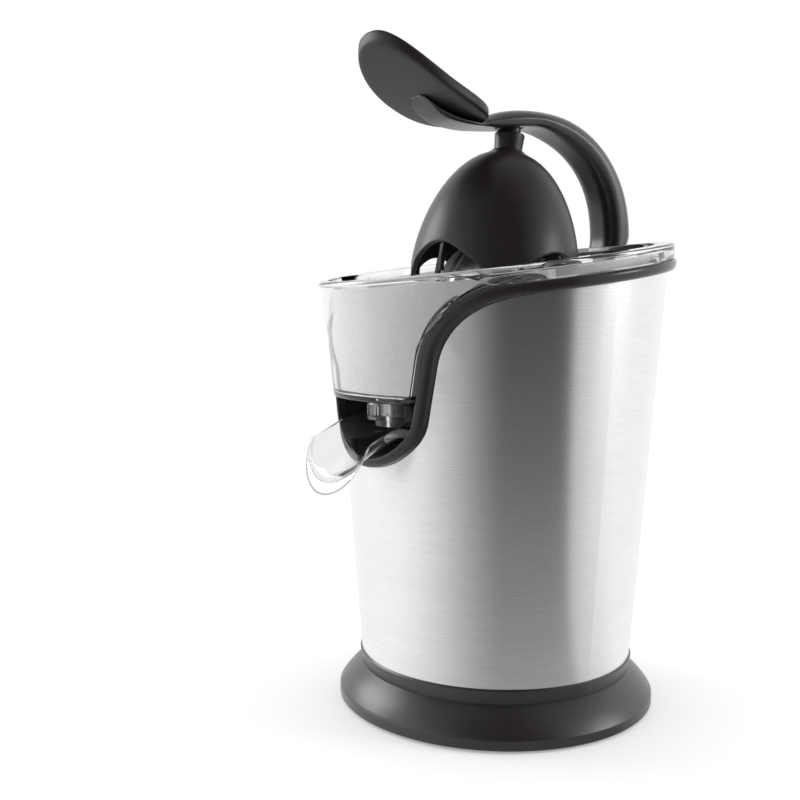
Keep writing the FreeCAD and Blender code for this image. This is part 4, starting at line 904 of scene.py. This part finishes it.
def egg_radius(height, inset):
    """Radius of the egg-shaped wall at a height over its widest line, moved inwards by inset."""
    if height < 0:
        return DOME_R - inset - DOME_TUCK * height / ARCH_LOW
    turn = asin(min(1.0, height / (DOME_H - inset)))
    return (DOME_R - inset) * cos(turn) * (1 - DOME_SHOULDER * sin(2 * turn))


def arch_edge(angle):
    """Height of the wavy lower edge at an angle round the dome."""
    wave = (1 + cos(4 * (angle + pi / 2 - ARCH_TURN))) / 2
    return ARCH_LOW + ARCH_RISE * wave ** 0.8


def fixed(radius, height):
    return lambda _: (radius, height)


def build_dome():
    top = asin((DOME_H - 2.6) / DOME_H)

    def wall(part, inset):
        def place(angle):
            low, high = arch_edge(angle), DOME_H * sin(top) - inset
            height = low + (high - low) * part
            return egg_radius(height, inset), height
        return place

    def lip(rise, inset):
        return lambda angle: (egg_radius(arch_edge(angle) + rise, inset), arch_edge(angle) + rise)

    parts = [0.02, 0.05, 0.1] + [0.16 + 0.84 * i / 22 for i in range(23)]
    inner_top = sqrt(max(0.0, 1 - (SPIGOT_R / (DOME_R - DOME_T)) ** 2)) * (DOME_H - DOME_T)
    places = [lip(0.0, 1.5), lip(0.0, 0.9), lip(0.2, 0.35), lip(0.7, 0.05)]
    places += [wall(part, 0.0) for part in parts]
    places += [fixed(radius, DOME_H - drop) for radius, drop in COLLAR_SEAT] + [fixed(SPIGOT_R, inner_top)]
    places += [wall(part, DOME_T) for part in reversed(parts[:-1])]
    places += [lip(0.7, 2.95), lip(0.2, 2.65), lip(0.0, 2.1)]
    dome = drawn_out("fruit_dome", dome_rings(192, places), joined=True)
    finish_piece(dome, 40, "dome", "dome_black", "black_moulding", "press_dome")


def build_collar():
    collar = drawn_out("dome_collar", dome_rings(64, [fixed(*row) for row in COLLAR_PROFILE]))
    bored_for_swivel(collar)
    finish_piece(collar, 40, "dome", "dome_black", "black_moulding", "dome_neck")


def build_dome_fins():
    fins = []
    for turn in range(FIN_COUNT):
        angle = radians(FIN_TURN + 360 / FIN_COUNT * turn)
        rings = []
        for height in FIN_HEIGHTS:
            fruit = FRUIT_R * sqrt(max(0.0, 1 - (height / FRUIT_H) ** 2))
            outer = egg_radius(height, DOME_T) + FIN_SUNK
            inner = max(FIN_MIDDLE_R, fruit + FIN_GAP)
            face = ((inner, FIN_EDGE_HALF), (inner + FIN_BEVEL, FIN_HALF), (outer, FIN_HALF))
            ring = []
            for radius, half in [(r, -h) for r, h in face] + list(face[::-1]):
                across = radius * sin(angle) + half * cos(angle)
                side = radius * cos(angle) - half * sin(angle)
                ring.append(dome_at(height, across, side))
            rings.append(ring)
        fins.append(drawn_out("dome_fin_%d" % turn, rings))
    select_only(*fins)
    bpy.ops.object.join()
    ribs = bpy.context.object
    ribs.name = "dome_fins"
    finish_piece(ribs, 40, "dome", "dome_black", "black_moulding")


# ---- lever arm
HOOP_CENTRE = (34.0, 271.0)
HOOP_R = 69.0
# inner curve of the hoop, one point per tenth of the quarter turn
HOOP_INNER = ((81.4, 272.0), (80.9, 280.0), (79.2, 288.0), (76.3, 296.0), (71.8, 303.6), (65.9, 310.6),
              (59.2, 316.4), (51.5, 321.2), (43.2, 325.0), (34.5, 328.0))
# crown (y, z), inner line (y, z), half width
KNUCKLE_STATIONS = (((91.0, 250.8), (85.0, 250.8), 11.4), ((95.8, 253.4), (80.4, 253.4), 12.0),
                    ((97.8, 257.3), (79.0, 257.3), 12.0), ((98.6, 261.2), (79.9, 261.0), 12.0),
                    ((100.6, 264.8), (81.0, 264.6), 12.0), ((102.4, 268.2), (81.4, 268.2), 12.0))
FRONT_STATIONS = (((24.0, 340.0), (26.5, 329.6), 12.0), ((14.0, 339.4), (17.0, 329.2), 12.0),
                  ((4.0, 337.9), (7.0, 327.8), 12.0), ((-4.0, 335.8), (-2.5, 326.6), 11.8),
                  ((-10.0, 333.7), (-9.5, 326.0), 11.3), ((-14.5, 331.8), (-14.5, 325.7), 10.9),
                  ((-17.0, 330.4), (-17.2, 325.6), 10.7))
RIB_STATIONS = ((-18.5, 325.5, 10.6), (-25.0, 325.4, 10.6), (-32.0, 325.6, 10.6), (-39.0, 326.4, 10.5),
                (-44.5, 327.7, 10.2), (-49.5, 330.2, 9.7), (-54.0, 333.5, 8.9), (-56.6, 336.2, 7.6),
                (-57.9, 337.6, 5.6), (-58.4, 338.1, 3.4))
ARM_CORNER_R = 4.0
HOOP_CORNER_R = 7.5
ARM_CROWN_H = 8.0
HINGE_AT, HINGE_HOLE_R = (88, 261), 3.05            # y and z of the hinge pin
# radius and heights up the dome's axis of the room for the collar's flare and for its tongue
COLLAR_ROOM = ((9.05, 76.8, 80.0), (7.4, 78.0, 89.3))


def arm_section(crown, inner, half, corner_r=ARM_CORNER_R):
    """Flat inner face with rounded corners, upright sides, a soft shoulder and a crowned outer face."""
    crown, inner = Vector((0, *crown)), Vector((0, *inner))
    depth = (crown - inner).length
    up = (crown - inner).normalized()
    corner = min(corner_r, 0.42 * depth)
    rise = min(ARM_CROWN_H, 0.5 * depth)
    shoulder = depth - rise
    side = [(0.0, 0.0), (0.5 * (half - corner), 0.0), (half - corner, 0.0)]
    side += [(half - corner + corner * sin(t), corner * (1 - cos(t))) for t in quarter()]
    side += [(half, (corner + shoulder) / 2), (half, shoulder - 1.0), (half - 0.15, shoulder - 0.2),
             (half - 0.7, shoulder + 0.5)]
    radius = (half * half + rise * rise) / (2 * rise)
    for part in (0.86, 0.68, 0.48, 0.25):
        u = half * part
        side.append((u, depth - radius + sqrt(radius * radius - u * u)))
    side.append((0.0, depth))
    outline = side + [(-u, v) for u, v in side[-2:0:-1]]
    return [inner + up * v + Vector((u, 0, 0)) for u, v in outline]


def build_arm():
    rings = [arm_section(*station, HOOP_CORNER_R) for station in KNUCKLE_STATIONS]
    last = len(HOOP_INNER) - 1
    for step, inner in enumerate(HOOP_INNER):
        turn = pi / 2 * step / last
        crown = (HOOP_CENTRE[0] + HOOP_R * cos(turn), HOOP_CENTRE[1] + HOOP_R * sin(turn))
        rounder = 1 - (step / last) ** 3
        corner_r = ARM_CORNER_R + (HOOP_CORNER_R - ARM_CORNER_R) * rounder
        rings.append(arm_section(crown, inner, 12.0, corner_r))
    rings += [arm_section(*station) for station in FRONT_STATIONS]
    for y, low, half in RIB_STATIONS:
        rings.append(arm_section((y, paddle_underside(y) - 0.04), (y, low), half))
    arm = drawn_out("lever_hoop", rings)
    rounding = arm.modifiers.new("rounding", "SUBSURF")
    rounding.levels = rounding.render_levels = 1
    bpy.ops.object.modifier_apply(modifier=rounding.name)
    bored(arm, HINGE_HOLE_R, (-30, *HINGE_AT), (30, *HINGE_AT))
    for radius, low, high in COLLAR_ROOM:
        bored(arm, radius, dome_at(low), dome_at(high))
    bored_for_swivel(arm)
    finish_piece(arm, 42, "lever", "lever_black", "black_moulding", "lever_arm")


build_trim()
build_bowl()
build_spout()
build_paddle()
build_arm()
build_dome()
build_collar()
build_dome_fins()


# ---- studio
def studio_light(tree, direction, dim, kind="Brightness"):
    return use_group(tree, STUDIO, Direction=direction, Dim=dim)[kind]


def after_mirror(tree, paths):
    """1 for light that has met a glossy surface, also when it then passes through something clear."""
    met = math_node(tree, "GREATER_THAN", paths["Glossy Depth"], 0.5)
    return math_node(tree, "MAXIMUM", paths["Is Glossy Ray"], met)


def build_world():
    """White for the camera, the studio's bright and dim sides in gloss and glass, soft light elsewhere."""
    world = bpy.data.worlds.new("studio")
    bpy.context.scene.world = world
    world.use_nodes = True
    tree = world.node_tree
    direction = node(tree, "TexCoord", {}).outputs["Generated"]
    paths = node(tree, "LightPath", {}).outputs
    mirrored = math_node(tree, "MAXIMUM", after_mirror(tree, paths), paths["Is Transmission Ray"])
    sky = studio_light(tree, direction, DIM_FAR, "Open Sky")
    soft = node(tree, "VectorMath", {0: sky, "Scale": SOFT_LIGHT}, operation="SCALE").outputs["Vector"]
    plain = mix_color(tree, mirrored, soft, studio_light(tree, direction, DIM_FAR))
    shown = mix_color(tree, paths["Is Camera Ray"], plain, (1.0, 1.0, 1.0))
    feed(tree, tree.nodes["Background"], {"Color": shown})


def build_floor():
    select_only()
    bpy.ops.mesh.primitive_plane_add(size=2 * FLOOR_HALF, location=(0, 0, FLOOR_Z))
    floor = bpy.context.object
    floor.name = "studio_floor"
    tree, shader, position = material("studio_floor")
    feed(tree, shader, {"Base Color": (0.97, 0.97, 0.97, 1), "Roughness": 0.9, "Specular IOR Level": 0.1})
    paths = node(tree, "LightPath", {}).outputs
    away = node(tree, "VectorMath", {0: position}, operation="LENGTH").outputs["Value"]
    fade = math_node(tree, "POWER", exp(1), math_node(tree, "DIVIDE", away, -DIM_REACH))
    dim = math_node(tree, "ADD", times(tree, fade, DIM_NEAR), DIM_FAR - 0.02)
    glow = node(tree, "Emission", {"Color": studio_light(tree, position, dim)}).outputs[0]
    mirrored = after_mirror(tree, paths)
    lit = node(tree, "MixShader", {0: mirrored, 1: shader.outputs[0], 2: glow}).outputs[0]
    far = stretched(tree, away, *FLOOR_WHITE, smooth=True)
    seen = math_node(tree, "MAXIMUM", paths["Is Camera Ray"], paths["Is Transmission Ray"])
    seen = times(tree, seen, math_node(tree, "SUBTRACT", 1.0, mirrored))
    white = node(tree, "Emission", {"Color": (1, 1, 1, 1)}).outputs[0]
    mixed = node(tree, "MixShader", {0: times(tree, seen, far), 1: lit, 2: white}).outputs[0]
    feed(tree, tree.nodes["Material Output"], {"Surface": mixed})
    floor.data.materials.append(finishes["studio_floor"])


def area_light(name, at, aim, size, power, mirrored=True):
    lamp = bpy.data.lights.new(name, "AREA")
    lamp.shape = "RECTANGLE"
    lamp.size, lamp.size_y = size
    lamp.energy = power
    holder = bpy.data.objects.new(name, lamp)
    bpy.context.collection.objects.link(holder)
    turn = (Vector(aim) - Vector(at)).to_track_quat("-Z", "Y")
    holder.matrix_world = Matrix.Translation(at) @ turn.to_matrix().to_4x4()
    holder.visible_transmission = False
    holder.visible_glossy = mirrored


def build_camera():
    data = bpy.data.cameras.new("camera")
    data.lens = CAMERA_LENS
    data.sensor_width = 36.0
    data.clip_start = 0.01
    camera = bpy.data.objects.new("camera", data)
    bpy.context.collection.objects.link(camera)
    look = Vector(CAMERA_LOOK).normalized()
    right = look.cross(Vector(CAMERA_UP)).normalized()
    up = right.cross(look)
    camera.matrix_world = Matrix.Translation(CAMERA_AT) @ Matrix((right, up, -look)).transposed().to_4x4()
    bpy.context.scene.camera = camera


build_world()
build_floor()
area_light("overhead", (0.1, -0.1, 1.6), (0, 0, 0.1), (1.0, 1.0), 9.0, mirrored=False)
area_light("left_window", (-1.08, -0.66, 0.78), (0, 0, 0.2), (0.70, 0.60), 6.0)
area_light("right_window", (0.75, 1.00, 0.78), (0, 0, 0.2), (0.55, 0.60), 5.0, mirrored=False)
area_light("side_window", (0.92, 0.93, 0.60), (0, 0, 0.3), (0.45, 0.32), 2.6)
build_camera()

bpy.context.scene.view_settings.view_transform = "Standard"
